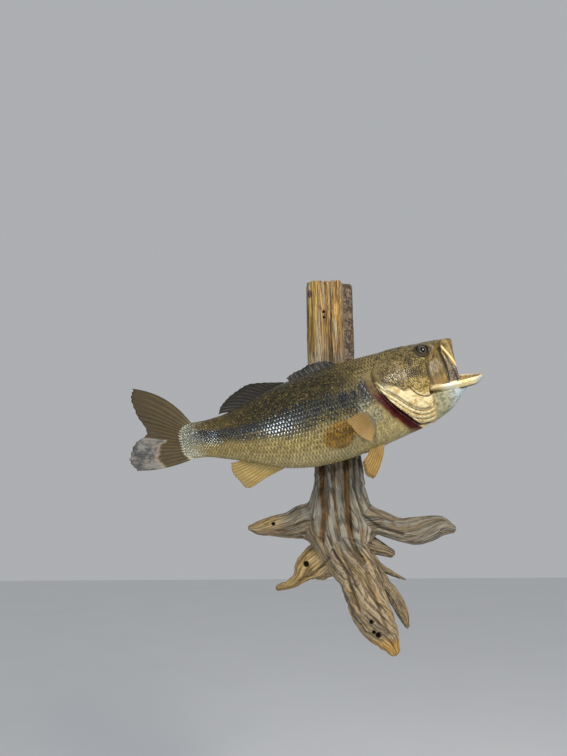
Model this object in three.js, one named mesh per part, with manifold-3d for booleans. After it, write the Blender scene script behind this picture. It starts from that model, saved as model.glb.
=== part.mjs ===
// A largemouth bass, mounted open-mouthed on a weathered driftwood post that hangs flat on a wall.
// Units are millimetres. +Z is up, the wall is the plane Y = 0, and the fish heads towards +X with its
// right side towards -Y. The origin is on the flat back of the post.
//
// The fish is drawn in a frame of its own: x runs along the body towards the head, y across it, with the
// right side negative, and z from belly to back. That frame is tilted head up and set in front of the wood.
import * as THREE from 'three';
import { mergeVertices } from 'three/addons/utils/BufferGeometryUtils.js';
import Module from 'manifold-3d';

const wasm = await Module();
wasm.setup();

// ---------------------------------------------------------------- driving dimensions

const GAP = 0.3; // clearance between neighbouring solids
const FAR = 400; // longer than any one piece

const BODY_TILT = 13; // degrees, head up
const BODY_PLANE = 105; // wall to the fish's middle plane
const BODY_HEIGHT = -141; // height of the body axis below the origin
const BODY_SWAY = 8; // how far head and tail swing out from the wall
const SWAY_REACH = 220;

// Stations along the body, from the tail root to the snout: [x, value].
const BACK = [
  [-241, 34], [-225, 38], [-206, 37], [-185, 37.5], [-165, 40], [-140, 46], [-115, 54], [-89, 60.5],
  [-57, 65], [-15, 69], [40, 71.5], [124, 71.5], [155, 69.5], [176, 66.5], [190, 61],
];
const BELLY = [
  [-241, -11], [-225, -15], [-207, -18], [-186, -25.5], [-165, -33.5], [-144, -43], [-124, -52],
  [-103, -60], [-82, -65.5], [-55, -69.5], [-16, -70], [30, -67], [62, -61.5], [93, -56.5], [114, -53],
];
const BODY_HALF_WIDTH = [
  [-241, 3.5], [-225, 6], [-206, 8.5], [-185, 11.5], [-150, 19], [-110, 28], [-60, 36], [-15, 39.5],
  [30, 39.5], [58, 36.5], [76, 31], [92, 23], [105, 13], [114, 7],
];
const BODY_STATIONS = [
  -241, -225, -206, -186, -166, -146, -126, -104, -80, -50, -16, 16, 44, 62, 80, 98, 114,
];

const HEAD_BOTTOM = [
  [46, -62], [80, -56], [108, -52], [122, -51.5], [142, -44.5], [159, -36], [175, -21], [192, -10],
];
const HEAD_HALF_WIDTH = [
  [46, 41], [58, 43.5], [78, 44], [100, 41], [118, 36], [136, 30.5], [156, 27], [170, 25], [180, 22],
  [192, 16],
];
const HEAD_STATIONS = [46, 60, 78, 96, 112, 128, 142, 156, 168, 179, 192];
const FLANK_FULLNESS = 0.86; // 1 is an ellipse, less is squarer
const THROAT_FULLNESS = 1.2;

const NAPE_PLUG_TOP = 44; // the trunk reaches under the gill covers up to this height
const GILL_SLIT = 2.5; // between the covers and the trunk
const COVER_THICKNESS = 4.5;

const MOUTH_CENTRE = { x: 190, z: 28 };
const MOUTH_RADII = { x: 64, y: 44, z: 42 };
const MOUTH_WALL = 4;
const SNOUT_FRONT = 184; // the opening is an arc from above: its sides lie further back than the snout
const LIP_SETBACK = 14;
const LIP_HALF_WIDTH = 24;

const EYE_RADIUS = 9.5;
const EYE_CENTRE = { x: 132, y: 19, z: 52 };

const JAW_TWIST = 23; // degrees, the right rim of the open jaw hangs lower
const JAW_DROOP = 4.5; // degrees, how far the jaw is lowered at its tip
const JAW_RIM = 8; // height of the rim before the twist
const JAW_HINGE = 125;
const JAW_HALF_WIDTH = [[125, 31], [150, 30.5], [175, 25.5], [192, 19], [204, 12], [213, 3.5]];
const JAW_DEPTH = [[125, 10], [150, 14], [192, 14], [204, 11], [213, 4]];
const JAW_STATIONS = [125, 142, 160, 176, 190, 200, 208, 213];
const JAW_WALL = 3.5;
const JAW_INSIDE = [120, 142, 160, 176, 190, 200, 206];
const LIP_BAND = 8; // height of the jaw's side that shows between mouth and throat
const TONGUE_RADII = { x: 27, y: 10, z: 8 };
const TONGUE_CENTRE_X = 163;

const RING_SIDES = 20;

// ---------------------------------------------------------------- small tools

const point = (x, y, z) => new THREE.Vector3(x, y, z);

// The value at x of a smooth curve through [x, value] stations, by Catmull-Rom.
function along(stations, x) {
  const last = stations.length - 1;
  let i = 0;
  while (i < last - 1 && x > stations[i + 1][0]) i += 1;
  const [x0, v0] = stations[i];
  const [x1, v1] = stations[i + 1];
  const slope = (j) => {
    const a = stations[Math.max(j - 1, 0)];
    const b = stations[Math.min(j + 1, last)];
    return (b[1] - a[1]) / (b[0] - a[0]);
  };
  const t = THREE.MathUtils.clamp((x - x0) / (x1 - x0), 0, 1);
  const run = x1 - x0;
  const t2 = t * t;
  const t3 = t2 * t;
  return (
    v0 * (2 * t3 - 3 * t2 + 1) + v1 * (3 * t2 - 2 * t3)
    + slope(i) * run * (t3 - 2 * t2 + t) + slope(i + 1) * run * (t3 - t2)
  );
}

const sway = (x) => -BODY_SWAY * (x / SWAY_REACH) ** 2;

// Closes a ring with triangles to its middle.
function fannedCap(vertices, ring, start) {
  const sides = ring.length;
  const middle = ring.reduce((sum, p) => sum.add(p), point(0, 0, 0)).divideScalar(sides);
  const centre = vertices.push(middle) - 1;
  return ring.map((_, j) => [start + j, start + (j + 1) % sides, centre]);
}

// Closes a doubled ring, which runs out and back, with a strip between its two halves.
function zippedCap(start, sides) {
  const triangles = [];
  for (let j = 0; j + 1 < sides / 2; j += 1) {
    const [a, b] = [start + j, start + j + 1];
    const [c, d] = [start + sides - 2 - j, start + sides - 1 - j];
    triangles.push([a, b, c], [a, c, d]);
  }
  return triangles;
}

// A closed geometry through rings with the same number of points. In a doubled ring the second half runs
// back behind the first, and its quads are split along the same diagonals, so that the two faces of a thin
// twisted sheet don't cross.
function loftGeometry(rings, doubled) {
  const sides = rings[0].length;
  const vertices = rings.flat();
  const triangles = [];
  for (let i = 0; i + 1 < rings.length; i += 1) {
    for (let j = 0; j < sides; j += 1) {
      const a = i * sides + j;
      const b = i * sides + (j + 1) % sides;
      if (doubled && j >= sides / 2) {
        triangles.push([a, b, a + sides], [b, b + sides, a + sides]);
      } else {
        triangles.push([a, b, b + sides], [a, b + sides, a + sides]);
      }
    }
  }
  for (const [ring, turned] of [[0, true], [rings.length - 1, false]]) {
    const cap = doubled ? zippedCap(ring * sides, sides) : fannedCap(vertices, rings[ring], ring * sides);
    triangles.push(...cap.map(([a, b, c]) => (turned ? [c, b, a] : [a, b, c])));
  }
  const geometry = new THREE.BufferGeometry().setFromPoints(vertices);
  const volume = triangles.reduce((sum, [a, b, c]) => (
    sum + vertices[a].dot(point(0, 0, 0).crossVectors(vertices[b], vertices[c]))
  ), 0);
  geometry.setIndex(triangles.flatMap(([a, b, c]) => (volume > 0 ? [a, b, c] : [a, c, b])));
  return geometry;
}

function solidOf(geometry) {
  const bare = geometry.clone();
  bare.deleteAttribute('normal');
  bare.deleteAttribute('uv');
  const merged = mergeVertices(bare, 1e-4);
  return new wasm.Manifold(new wasm.Mesh({
    numProp: 3,
    vertProperties: new Float32Array(merged.attributes.position.array),
    triVerts: new Uint32Array(merged.index.array),
  }));
}

function geometryOf(solid) {
  const mesh = solid.getMesh();
  const geometry = new THREE.BufferGeometry();
  geometry.setAttribute('position', new THREE.BufferAttribute(new Float32Array(mesh.vertProperties), 3));
  geometry.setIndex(new THREE.BufferAttribute(new Uint32Array(mesh.triVerts), 1));
  const flat = geometry.toNonIndexed();
  flat.computeVertexNormals();
  return flat;
}

const loft = (rings, doubled = false) => solidOf(loftGeometry(rings, doubled));

// The box between two corners.
function block(low, high) {
  const size = [0, 1, 2].map((k) => high[k] - low[k]);
  const geometry = new THREE.BoxGeometry(...size);
  geometry.translate(...[0, 1, 2].map((k) => (low[k] + high[k]) / 2));
  return solidOf(geometry);
}

function ellipsoid(centre, radii, wide = 12, high = 8) {
  const geometry = new THREE.SphereGeometry(1, wide, high);
  geometry.scale(radii.x, radii.y, radii.z);
  geometry.translate(centre.x, centre.y, centre.z);
  return solidOf(geometry);
}

// An outline of [x, z] points, moved outwards by grow.
function grown(outline, grow) {
  const count = outline.length;
  const area = outline.reduce((sum, [x, z], i) => {
    const [u, w] = outline[(i + 1) % count];
    return sum + x * w - u * z;
  }, 0);
  const side = Math.sign(area) * grow;
  return outline.map(([x, z], i) => {
    const [a, b] = outline[(i + count - 1) % count];
    const [c, d] = outline[(i + 1) % count];
    const before = new THREE.Vector2(z - b, a - x).normalize();
    const after = new THREE.Vector2(d - z, x - c).normalize();
    const mitre = before.clone().add(after).normalize();
    const reach = side / Math.max(mitre.dot(after), 0.4);
    return [x + mitre.x * reach, z + mitre.y * reach];
  });
}

// A prism across the body with the given side outline, from y = low to y = high.
function prism(outline, grow = 0, low = -FAR, high = FAR) {
  const shape = new THREE.Shape(grown(outline, grow).map(([x, z]) => new THREE.Vector2(x, z)));
  const geometry = new THREE.ExtrudeGeometry(shape, { depth: high - low, bevelEnabled: false });
  geometry.rotateX(Math.PI / 2);
  geometry.translate(0, high, 0);
  return solidOf(geometry);
}

// ---------------------------------------------------------------- the whole fish, before it is parted

// A section between bottom and top. Its lower half narrows more where lowFullness is larger.
function bodyRing(x, bottom, halfWidth, lowFullness, grow) {
  const top = along(BACK, x);
  const middle = (top + bottom) / 2;
  const half = (top - bottom) / 2 + grow;
  const rounded = (value, fullness) => Math.sign(value) * Math.abs(value) ** fullness;
  return Array.from({ length: RING_SIDES }, (_, j) => {
    const turn = (2 * Math.PI * j) / RING_SIDES;
    const fullness = Math.sin(turn) < 0 ? lowFullness : FLANK_FULLNESS;
    const across = (halfWidth + grow) * rounded(Math.cos(turn), fullness);
    return point(x, sway(x) + across, middle + half * rounded(Math.sin(turn), FLANK_FULLNESS));
  });
}

function trunkWhole(grow = 0) {
  return loft(BODY_STATIONS.map((x) => (
    bodyRing(x, along(BELLY, x), along(BODY_HALF_WIDTH, x), FLANK_FULLNESS, grow)
  )));
}

function headWhole(grow = 0, longer = 0) {
  const rings = HEAD_STATIONS.map((x) => {
    const forward = THREE.MathUtils.smoothstep(x, 100, 135);
    const lowFullness = THREE.MathUtils.lerp(FLANK_FULLNESS, THROAT_FULLNESS, forward);
    return bodyRing(x, along(HEAD_BOTTOM, x), along(HEAD_HALF_WIDTH, x), lowFullness, grow);
  });
  if (longer > 0) rings.push(rings.at(-1).map((p) => p.clone().add(point(longer, 0, 0))));
  return loft(rings);
}

// Side outlines, as [x, z], where the head is parted from the trunk and into its own pieces.
const GILL_EDGE = [
  [62, 95], [62, 52], [57, 45], [52, 37], [52, 22], [57, 4], [75, -25], [91, -40], [108, -53],
];
const MOUTH_EDGE = [[171, -4], [174, 25], [181, 48], [187, 62], [190, 95]];
const HEAD_SIDE = [...GILL_EDGE, [108, -75], [200, -75], [200, 0], ...MOUTH_EDGE];
const GILL_COVER_SIDE = [
  [48, 37], [58, 42], [70, 42], [88, 39], [92, 22], [93, 8], [99, -4], [108, -13], [121, -16],
  [122, -27], [116, -31], [103, -31], [85, -17], [63, 8], [48, 22],
];
const BRANCHIOSTEGAL_SIDE = [
  [48, 20], [63, 7], [85, -18], [103, -32], [117, -32], [121, -40], [121, -58], [104, -58], [80, -40],
  [60, -10], [48, 8],
];
const THROAT_SIDE = [[122, -30], [123, 1], [204, 1], [204, -75], [118, -75], [121, -51]];
const MAXILLA_SIDE = [[157, -20], [158, 3], [159, 23], [158, 44], [200, 44], [200, -20]];
const PREMAXILLA_SIDE = [[158.5, 44.5], [166, 66], [167, 80], [200, 80], [200, 44.5]];

// The cavity follows the head's sides at the thickness of its wall, and is rounded towards the gullet.
function mouthCavity() {
  const gullet = ellipsoid({ ...MOUTH_CENTRE, y: sway(MOUTH_CENTRE.x) }, MOUTH_RADII);
  return headWhole(-MOUTH_WALL, 20).intersect(gullet);
}

// The head's plan, which rounds the mouth's opening from side to side.
function headPlan() {
  const middle = sway(SNOUT_FRONT);
  const arc = new THREE.SplineCurve([-2, -1, -0.5, 0, 0.5, 1, 2].map((side) => (
    new THREE.Vector2(SNOUT_FRONT - LIP_SETBACK * side ** 2, middle + side * LIP_HALF_WIDTH)
  )));
  const shape = new THREE.Shape([
    new THREE.Vector2(40, middle - FAR / 4),
    ...arc.getPoints(12),
    new THREE.Vector2(40, middle + FAR / 4),
  ]);
  const geometry = new THREE.ExtrudeGeometry(shape, { depth: FAR / 2, bevelEnabled: false });
  geometry.translate(0, 0, -FAR / 4);
  return solidOf(geometry);
}

// The jaw is turned about its own long line by the twist, and about its hinge by the droop.
function twisted(solid) {
  const hinge = [JAW_HINGE, sway(170), JAW_RIM];
  return solid.translate(hinge.map((v) => -v)).rotate([JAW_TWIST, JAW_DROOP, 0]).translate(hinge);
}

function jawShell(stations, inset) {
  return loft(stations.map((x) => {
    const wide = Math.max(along(JAW_HALF_WIDTH, x) - inset, 1);
    const deep = Math.max(along(JAW_DEPTH, x) - inset, 1);
    return Array.from({ length: RING_SIDES }, (_, j) => {
      const turn = (2 * Math.PI * j) / RING_SIDES;
      return point(x, sway(170) + wide * Math.cos(turn), JAW_RIM + deep * Math.sin(turn));
    });
  }));
}

const belowRim = (lift = 0) => block([100, -FAR, -FAR], [240, FAR, JAW_RIM + lift]);
const lipBand = () => twisted(block([JAW_HINGE - 1, -FAR, JAW_RIM - LIP_BAND], [240, FAR, JAW_RIM + GAP]));

function jawBody(grow = 0) {
  return twisted(jawShell(JAW_STATIONS, -grow).intersect(belowRim(grow)));
}

function jawScoop(inset = JAW_WALL) {
  return twisted(jawShell(JAW_INSIDE, inset));
}

// ---------------------------------------------------------------- fins

// A curve through points that are [x, y, z].
const curveOf = (points) => new THREE.CatmullRomCurve3(points.map((p) => point(...p)), false, 'centripetal');

// A fin: rays run from the root curve past the middle curve to the tip curve. Its faces lie on both sides
// of that fan, and it thins from root to tip.
function fin({ root, middle, tip, facing, rays = 8, steps = 3, thickRoot = 3, thickTip = 1 }) {
  const [rootCurve, middleCurve, tipCurve] = [root, middle, tip].map(curveOf);
  const normal = point(...facing).normalize();
  const rings = [];
  for (let i = 0; i <= steps; i += 1) {
    const v = i / steps;
    const half = THREE.MathUtils.lerp(thickRoot, thickTip, v) / 2;
    const row = [];
    for (let j = 0; j <= rays; j += 1) {
      const u = j / rays;
      const ray = new THREE.QuadraticBezierCurve3(
        rootCurve.getPoint(u),
        middleCurve.getPoint(u),
        tipCurve.getPoint(u),
      );
      row.push(ray.getPoint(v));
    }
    const front = row.map((p) => p.clone().addScaledVector(normal, half));
    const back = row.map((p) => p.clone().addScaledVector(normal, -half)).reverse();
    rings.push([...front, ...back]);
  }
  return loft(rings, true);
}

// Rows of [x, z] points on the swayed middle plane, leaning sideways by the given y per millimetre of height.
const onPlane = (rows, lean = 0, from = 0) => rows.map(([x, z]) => [x, sway(x) + lean * (z - from), z]);

const FINS = {
  caudal_fin: {
    root: onPlane([[-225, 36], [-229, 27], [-231, 19], [-232, 11], [-231, 3], [-229, -5], [-225, -13]]),
    middle: onPlane([[-247, 92], [-264, 67], [-262, 46], [-258, 27], [-265, 13], [-271, -3], [-270, -24]]),
    tip: onPlane([[-300, 111], [-304, 93], [-299, 66], [-290, 38], [-309, 27], [-321, 5], [-313, -13]]),
    facing: [0, 1, 0],
    rays: 10,
    steps: 4,
    thickRoot: 5,
  },
  soft_dorsal_fin: {
    root: onPlane([[-66, 60], [-80, 57], [-94, 54], [-108, 51], [-122, 47], [-136, 43], [-150, 38]]),
    middle: onPlane(
      [[-74, 66], [-92, 67], [-110, 66], [-126, 64], [-142, 59], [-156, 51], [-165, 42]],
      0.15,
      45,
    ),
    tip: onPlane(
      [[-84, 69], [-106, 74], [-128, 77.5], [-147, 72], [-164, 63], [-176, 52], [-181, 41]],
      0.25,
      45,
    ),
    facing: [0, 1, 0],
  },
  spiny_dorsal_fin: {
    root: onPlane([[22, 65], [7, 65], [-9, 64], [-24, 62], [-38, 61], [-52, 60], [-63, 58]]),
    middle: onPlane([[17, 70], [2, 75], [-14, 75], [-29, 74], [-43, 71], [-56, 69], [-66, 66]]),
    tip: onPlane([[9, 73], [-3, 81], [-18, 84], [-33, 83], [-46, 79], [-59, 76], [-69, 70.5]]),
    facing: [0, 1, 0],
    thickTip: 1.6,
  },
  anal_fin: {
    root: onPlane([[-92, -57], [-108, -53], [-124, -47], [-140, -40], [-154, -33]]),
    middle: onPlane([[-111, -63], [-133, -64], [-148, -57], [-158, -46], [-165, -35]]),
    tip: onPlane([[-134, -66], [-162, -76], [-172, -63], [-179, -48], [-178, -34]]),
    facing: [0, 1, 0],
  },
};

// The right one of each pair. The left one is its mirror image, but for the pectoral fin, which lies
// folded along the flank between the fish and the wood.
const PAIRED_FINS = {
  pectoral_fin: {
    root: [[34, -34, -17], [37, -35, -29], [36, -34, -42]],
    middle: [[14, -54, -17], [22, -56, -34], [26, -50, -50]],
    tip: [[-5, -66, -27], [7, -66, -51], [22, -56, -62]],
    facing: [0.5, -1, -0.1],
    thickRoot: 2.6,
  },
  pelvic_fin: {
    root: [[46, -8, -58], [36, -10, -60], [27, -10, -60]],
    middle: [[37, -14, -86], [26, -15, -82], [17, -14, -73]],
    tip: [[17, -18, -106], [9, -19, -98], [9, -17, -78]],
    facing: [-0.1, 1, -0.25],
    rays: 6,
    thickRoot: 2.6,
  },
};

const FOLDED_PECTORAL = {
  ...PAIRED_FINS.pectoral_fin,
  middle: [[14, -43, -17], [21, -42.6, -33], [26, -41.5, -48]],
  tip: [[-9, -43, -26], [3, -42.8, -48], [20, -41, -60]],
  facing: [0, 1, 0],
};
const LEFT_FINS = { ...PAIRED_FINS, pectoral_fin: FOLDED_PECTORAL };

const mirrored = (solid) => solid.mirror([0, 1, 0]);

// ---------------------------------------------------------------- fish parts

// Cuts what lies in a zone away from the rest, leaving the usual gap, and returns both.
const part = (rest, zone) => [rest.intersect(zone(0)), rest.subtract(zone(GAP))];

const rightHalf = () => block([-FAR, -FAR, -FAR], [FAR, sway(120) - GAP / 2, FAR]);
const leftHalf = () => block([-FAR, sway(120) + GAP / 2, -FAR], [FAR, FAR, FAR]);

// The largest body of a solid, without slivers that a cut left over.
function largest(solid) {
  return solid.decompose().sort((a, b) => b.volume() - a.volume())[0];
}

function addPair(parts, name, solid) {
  parts[`${name}_right`] = largest(solid.intersect(rightHalf()));
  parts[`${name}_left`] = largest(solid.intersect(leftHalf()));
}

function headParts() {
  const parts = {};
  const belowNape = block([-FAR, -FAR, -FAR], [FAR, FAR, NAPE_PLUG_TOP + GILL_SLIT]);
  const plugRoom = trunkWhole(GILL_SLIT).intersect(belowNape);
  let rest = headWhole().intersect(prism(HEAD_SIDE)).intersect(headPlan()).subtract(plugRoom);
  rest = rest.subtract(mouthCavity()).subtract(jawBody(GAP)).subtract(lipBand());

  const shellZone = (outline) => (grow) => prism(outline, grow).subtract(headWhole(-COVER_THICKNESS - grow));
  const sideZone = (outline) => (grow) => prism(outline, grow);
  let piece;
  [piece, rest] = part(rest, (grow) => twisted(prism(THROAT_SIDE, grow)));
  parts.throat = largest(piece);
  [piece, rest] = part(rest, shellZone(GILL_COVER_SIDE));
  addPair(parts, 'gill_cover', piece);
  [piece, rest] = part(rest, shellZone(BRANCHIOSTEGAL_SIDE));
  addPair(parts, 'branchiostegals', piece);
  [piece, rest] = part(rest, sideZone(MAXILLA_SIDE));
  addPair(parts, 'maxilla', piece);
  [piece, rest] = part(rest, sideZone(PREMAXILLA_SIDE));
  parts.premaxilla = largest(piece);

  for (const [name, side] of [['right', -1], ['left', 1]]) {
    const centre = { ...EYE_CENTRE, y: sway(EYE_CENTRE.x) + side * EYE_CENTRE.y };
    const ball = (grow) => {
      const radius = EYE_RADIUS + grow;
      return ellipsoid(centre, { x: radius, y: radius, z: radius });
    };
    parts[`eye_${name}`] = ball(0);
    rest = rest.subtract(ball(GAP));
  }
  parts.head = largest(rest);

  parts.lower_jaw = largest(jawBody().subtract(jawScoop()));
  const tongue = ellipsoid({ x: TONGUE_CENTRE_X, y: sway(170), z: JAW_RIM - 9 }, TONGUE_RADII);
  parts.tongue = largest(twisted(tongue).intersect(jawScoop(JAW_WALL + GAP)));
  return parts;
}

const TRUNK_CUTS = [-16, -120]; // where the trunk is parted into front, middle and tail stalk

function trunkParts() {
  const plug = trunkWhole().intersect(block([-FAR, -FAR, -FAR], [FAR, FAR, NAPE_PLUG_TOP]));
  const behindHead = trunkWhole().subtract(prism(HEAD_SIDE, GAP));
  const whole = behindHead.add(plug.intersect(prism([[50, 60], [50, -80], [98, -80], [98, 60]])));
  const slice = (from, to) => largest(whole.intersect(block([from, -FAR, -FAR], [to, FAR, FAR])));
  const half = GAP / 2;
  return {
    trunk_front: slice(TRUNK_CUTS[0] + half, FAR),
    trunk_middle: slice(TRUNK_CUTS[1] + half, TRUNK_CUTS[0] - half),
    tail_stalk: slice(-FAR, TRUNK_CUTS[1] - half),
  };
}

function finParts() {
  const parts = {};
  const room = trunkWhole(GAP);
  for (const [name, shape] of Object.entries(FINS)) {
    parts[name] = largest(fin(shape).subtract(room));
  }
  for (const name of Object.keys(PAIRED_FINS)) {
    parts[`${name}_right`] = largest(fin(PAIRED_FINS[name]).subtract(room));
    parts[`${name}_left`] = largest(mirrored(fin(LEFT_FINS[name])).subtract(room));
  }
  return parts;
}

// ---------------------------------------------------------------- driftwood

const WOOD_SIDES = 12;

// A gnarled limb through stations [x, y, z, halfWidth, halfDepth]. Knots swell and twist its section.
function limb(stations, { knots = 0.08, twist = 2, steps = 9, sides = WOOD_SIDES } = {}, grow = 0) {
  const path = curveOf(stations.map(([x, y, z]) => [x, y, z]));
  const sizes = curveOf(stations.map(([, , , wide, deep]) => [wide, deep, 0]));
  const rings = [];
  for (let i = 0; i <= steps; i += 1) {
    const t = i / steps;
    const centre = path.getPoint(t);
    const ahead = path.getTangent(t);
    const end = (i === 0 ? -1 : 0) + (i === steps ? 1 : 0);
    centre.addScaledVector(ahead, end * grow);
    const across = point(0, 1, 0).cross(ahead).normalize();
    const out = ahead.clone().cross(across).normalize();
    const size = sizes.getPoint(t);
    rings.push(Array.from({ length: sides }, (_, j) => {
      const turn = (2 * Math.PI * j) / sides;
      const knot = 1 + knots
        * (Math.sin(3 * turn + twist * 4 * t) + 0.6 * Math.sin(5 * turn - twist * 9 * t));
      return centre.clone()
        .addScaledVector(across, (size.x * knot + grow) * Math.cos(turn))
        .addScaledVector(out, (size.y * knot + grow) * Math.sin(turn));
    }));
  }
  return loft(rings);
}

const POST_TOP = 94;
const POST_FOOT = -215;
const POST = { left: -51.5, right: 8, front: -60 }; // the front block
const FLANK = { right: 26.5, front: -41, top: 90 }; // the set-back flank on its right

// The post's section, clockwise from the back left, narrowed a little at height z.
function postRing(z, proud = 0) {
  const lean = 3 * Math.sin(z / 90);
  const grooves = 1.6 * Math.sin(z / 31);
  const outline = [
    [POST.left + 3, 0], [POST.left, -8], [POST.left - 1.5, -34 + grooves], [POST.left + 1.5, POST.front + 5],
    [POST.left + 8, POST.front + 1], [-33, POST.front - 1], [-27, POST.front + 1.2 + grooves / 2],
    [-22, POST.front], [-16.5, POST.front + 4.5 - grooves], [-10, POST.front + 0.8], [-2, POST.front + 1.5],
    [POST.right - 1, POST.front + 4], [POST.right, FLANK.front - 3], [POST.right + 5, FLANK.front],
    [FLANK.right - 4, FLANK.front + 1], [FLANK.right, FLANK.front + 7], [FLANK.right, -6],
    [FLANK.right - 3, 0],
  ];
  return outline.map(([x, y]) => point(x + (y < 0 ? lean * (x > 0 ? 0.6 : 0.2) : 0), y - proud, z));
}

const POST_HEIGHTS = [POST_TOP, 60, 25, -15, -60, -110, -165, POST_FOOT];

// Every limb below the post, from the wood's middle outwards: each is cut to fit round those before it.
const LIMBS = {
  driftwood_stump: [[
    [-7, -29, POST_FOOT - GAP, 38, 33], [-8, -29, -250, 42, 33], [-9, -30, -283, 52, 33],
    [-9, -31, -312, 56, 33], [-8, -33, -342, 40, 33], [-4, -36, -362, 26, 27],
  ], { knots: 0.04, twist: 0.5, steps: 8, sides: 18 }],
  root_left: [[
    [-40, -27, -300, 29, 25], [-62, -27, -298, 28, 21], [-88, -28, -303, 21, 15],
    [-112, -30, -304, 17, 12], [-136, -31, -307, 12, 8], [-148, -32, -307, 6, 5],
  ], { knots: 0.07, twist: 1, steps: 8 }],
  root_right: [[
    [28, -30, -297, 26, 25], [50, -31, -301, 20, 20], [76, -33, -311, 18, 16], [102, -35, -314, 22, 15],
    [124, -35, -311, 20, 13], [143, -33, -308, 17, 10], [160, -31, -312, 8, 6],
  ], { knots: 0.08, twist: 1.4, steps: 10 }],
  root_centre: [[
    [-2, -42, -342, 32, 30], [14, -43, -372, 34, 29], [23, -44, -400, 31, 28], [31, -45, -425, 30, 26],
    [41, -45, -445, 27, 22], [51, -44, -461, 20, 17], [59, -42, -475, 11, 11],
  ], { knots: 0.07, twist: 2.2, steps: 10 }],
  root_lower_left: [[
    [-28, -26, -352, 26, 20], [-46, -25, -359, 28, 19], [-61, -24, -367, 23, 16],
    [-74, -24, -381, 12, 12], [-88, -25, -390, 8, 9], [-105, -26, -394, 6, 7],
  ], { knots: 0.1, twist: 1.6, steps: 8 }],
  root_lower_right: [[
    [40, -32, -366, 11, 15], [54, -31, -388, 10, 13], [67, -30, -408, 11, 13],
    [77, -29, -427, 10, 12], [83, -28, -447, 5, 6],
  ], { knots: 0.09, twist: 1.8, steps: 8 }],
  root_twig: [[
    [34, -22, -352, 10, 8], [48, -21, -366, 7, 7], [66, -20, -376, 5, 5], [86, -20, -385, 2.5, 3],
  ], { knots: 0.06, twist: 1.2, steps: 7, sides: 10 }],
  root_stub: [[
    [30, -20, -330, 16, 14], [48, -19, -338, 13, 12], [66, -18, -346, 9, 9],
  ], { knots: 0.06, twist: 1.1, steps: 6, sides: 12 }],
};

const HANGER_BLOCK = { x: -30, z: -146, radius: 15 };
const HANGER_BLANK = 40; // length before it is cut to fit between post and fish

function woodParts(fishTrunk) {
  const parts = { driftwood_post: loft(POST_HEIGHTS.map((z) => postRing(z))) };
  const inFrontOfWall = block([-FAR, -FAR, -FAR * 2], [FAR, 0, FAR]);
  let taken = block([-FAR, -FAR, POST_FOOT - GAP], [FAR, FAR, FAR]);
  for (const [name, [stations, look]] of Object.entries(LIMBS)) {
    parts[name] = largest(limb(stations, look).intersect(inFrontOfWall).subtract(taken));
    taken = taken.add(limb(stations, look, GAP));
  }
  const blank = new THREE.CylinderGeometry(HANGER_BLOCK.radius, HANGER_BLOCK.radius, HANGER_BLANK, 20);
  blank.translate(HANGER_BLOCK.x, POST.front - HANGER_BLANK / 2 + 4, HANGER_BLOCK.z);
  const postRoom = loft(POST_HEIGHTS.map((z) => postRing(z, GAP)));
  parts.hanger_block = largest(solidOf(blank).subtract(postRoom).subtract(fishTrunk));
  return parts;
}

// ---------------------------------------------------------------- materials and assembly

const material = (color, roughness) => new THREE.MeshStandardMaterial({ color, roughness, metalness: 0 });
const MATERIALS = {
  skin: material(0x6b6a3c, 0.35),
  pale: material(0xd8c98f, 0.35),
  fin: material(0x6f5f35, 0.4),
  golden: material(0xb8954e, 0.4),
  mouth: material(0xc9a98c, 0.45),
  eye: material(0x17130d, 0.08),
  wood: material(0x8d7f6b, 0.85),
};

const LOOK = [
  [/^eye/, 'eye'],
  [/^(tongue)/, 'mouth'],
  [/^(branchiostegals|throat|lower_jaw)/, 'pale'],
  [/^(anal|pectoral|pelvic)_fin/, 'golden'],
  [/_fin/, 'fin'],
  [/^(driftwood|root|hanger)/, 'wood'],
  [/./, 'skin'],
];

function meshOf(name, solid) {
  const [, slot] = LOOK.find(([pattern]) => pattern.test(name));
  const mesh = new THREE.Mesh(geometryOf(solid), MATERIALS[slot]);
  mesh.name = name;
  return mesh;
}

function groupOf(parts) {
  const group = new THREE.Group();
  for (const [name, solid] of Object.entries(parts)) group.add(meshOf(name, solid));
  return group;
}

const fish = groupOf({ ...trunkParts(), ...headParts(), ...finParts() });
fish.rotation.y = THREE.MathUtils.degToRad(-BODY_TILT);
fish.position.set(0, -BODY_PLANE, BODY_HEIGHT);

const fishInWoodFrame = trunkWhole(GAP).rotate([0, -BODY_TILT, 0]).translate([0, -BODY_PLANE, BODY_HEIGHT]);
const wood = groupOf(woodParts(fishInWoodFrame));

const mountedBass = new THREE.Group();
mountedBass.add(fish, wood);
export default mountedBass;
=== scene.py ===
"""A largemouth bass mounted on driftwood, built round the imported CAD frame.

Shapes are drawn in millimetres. The fish has a frame of its own: a runs along the body towards the head,
y across it with the right side negative, and b from belly to back. The wood uses the row frame's X, Y, Z.
"""
import math

import bmesh
import bpy
import numpy as np
from mathutils import Matrix, Vector


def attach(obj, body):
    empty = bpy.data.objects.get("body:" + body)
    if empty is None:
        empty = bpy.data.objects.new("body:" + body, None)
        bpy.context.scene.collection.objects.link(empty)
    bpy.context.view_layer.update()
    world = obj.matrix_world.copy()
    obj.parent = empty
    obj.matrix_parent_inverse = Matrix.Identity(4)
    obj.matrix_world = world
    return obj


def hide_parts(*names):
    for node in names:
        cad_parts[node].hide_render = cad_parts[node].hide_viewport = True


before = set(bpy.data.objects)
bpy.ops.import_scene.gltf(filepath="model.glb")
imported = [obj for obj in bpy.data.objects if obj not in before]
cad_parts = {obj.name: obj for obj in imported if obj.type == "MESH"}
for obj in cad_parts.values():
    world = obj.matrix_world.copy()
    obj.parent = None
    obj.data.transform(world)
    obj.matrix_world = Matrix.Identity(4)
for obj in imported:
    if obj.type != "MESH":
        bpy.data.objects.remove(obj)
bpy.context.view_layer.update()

MM = 0.001

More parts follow.
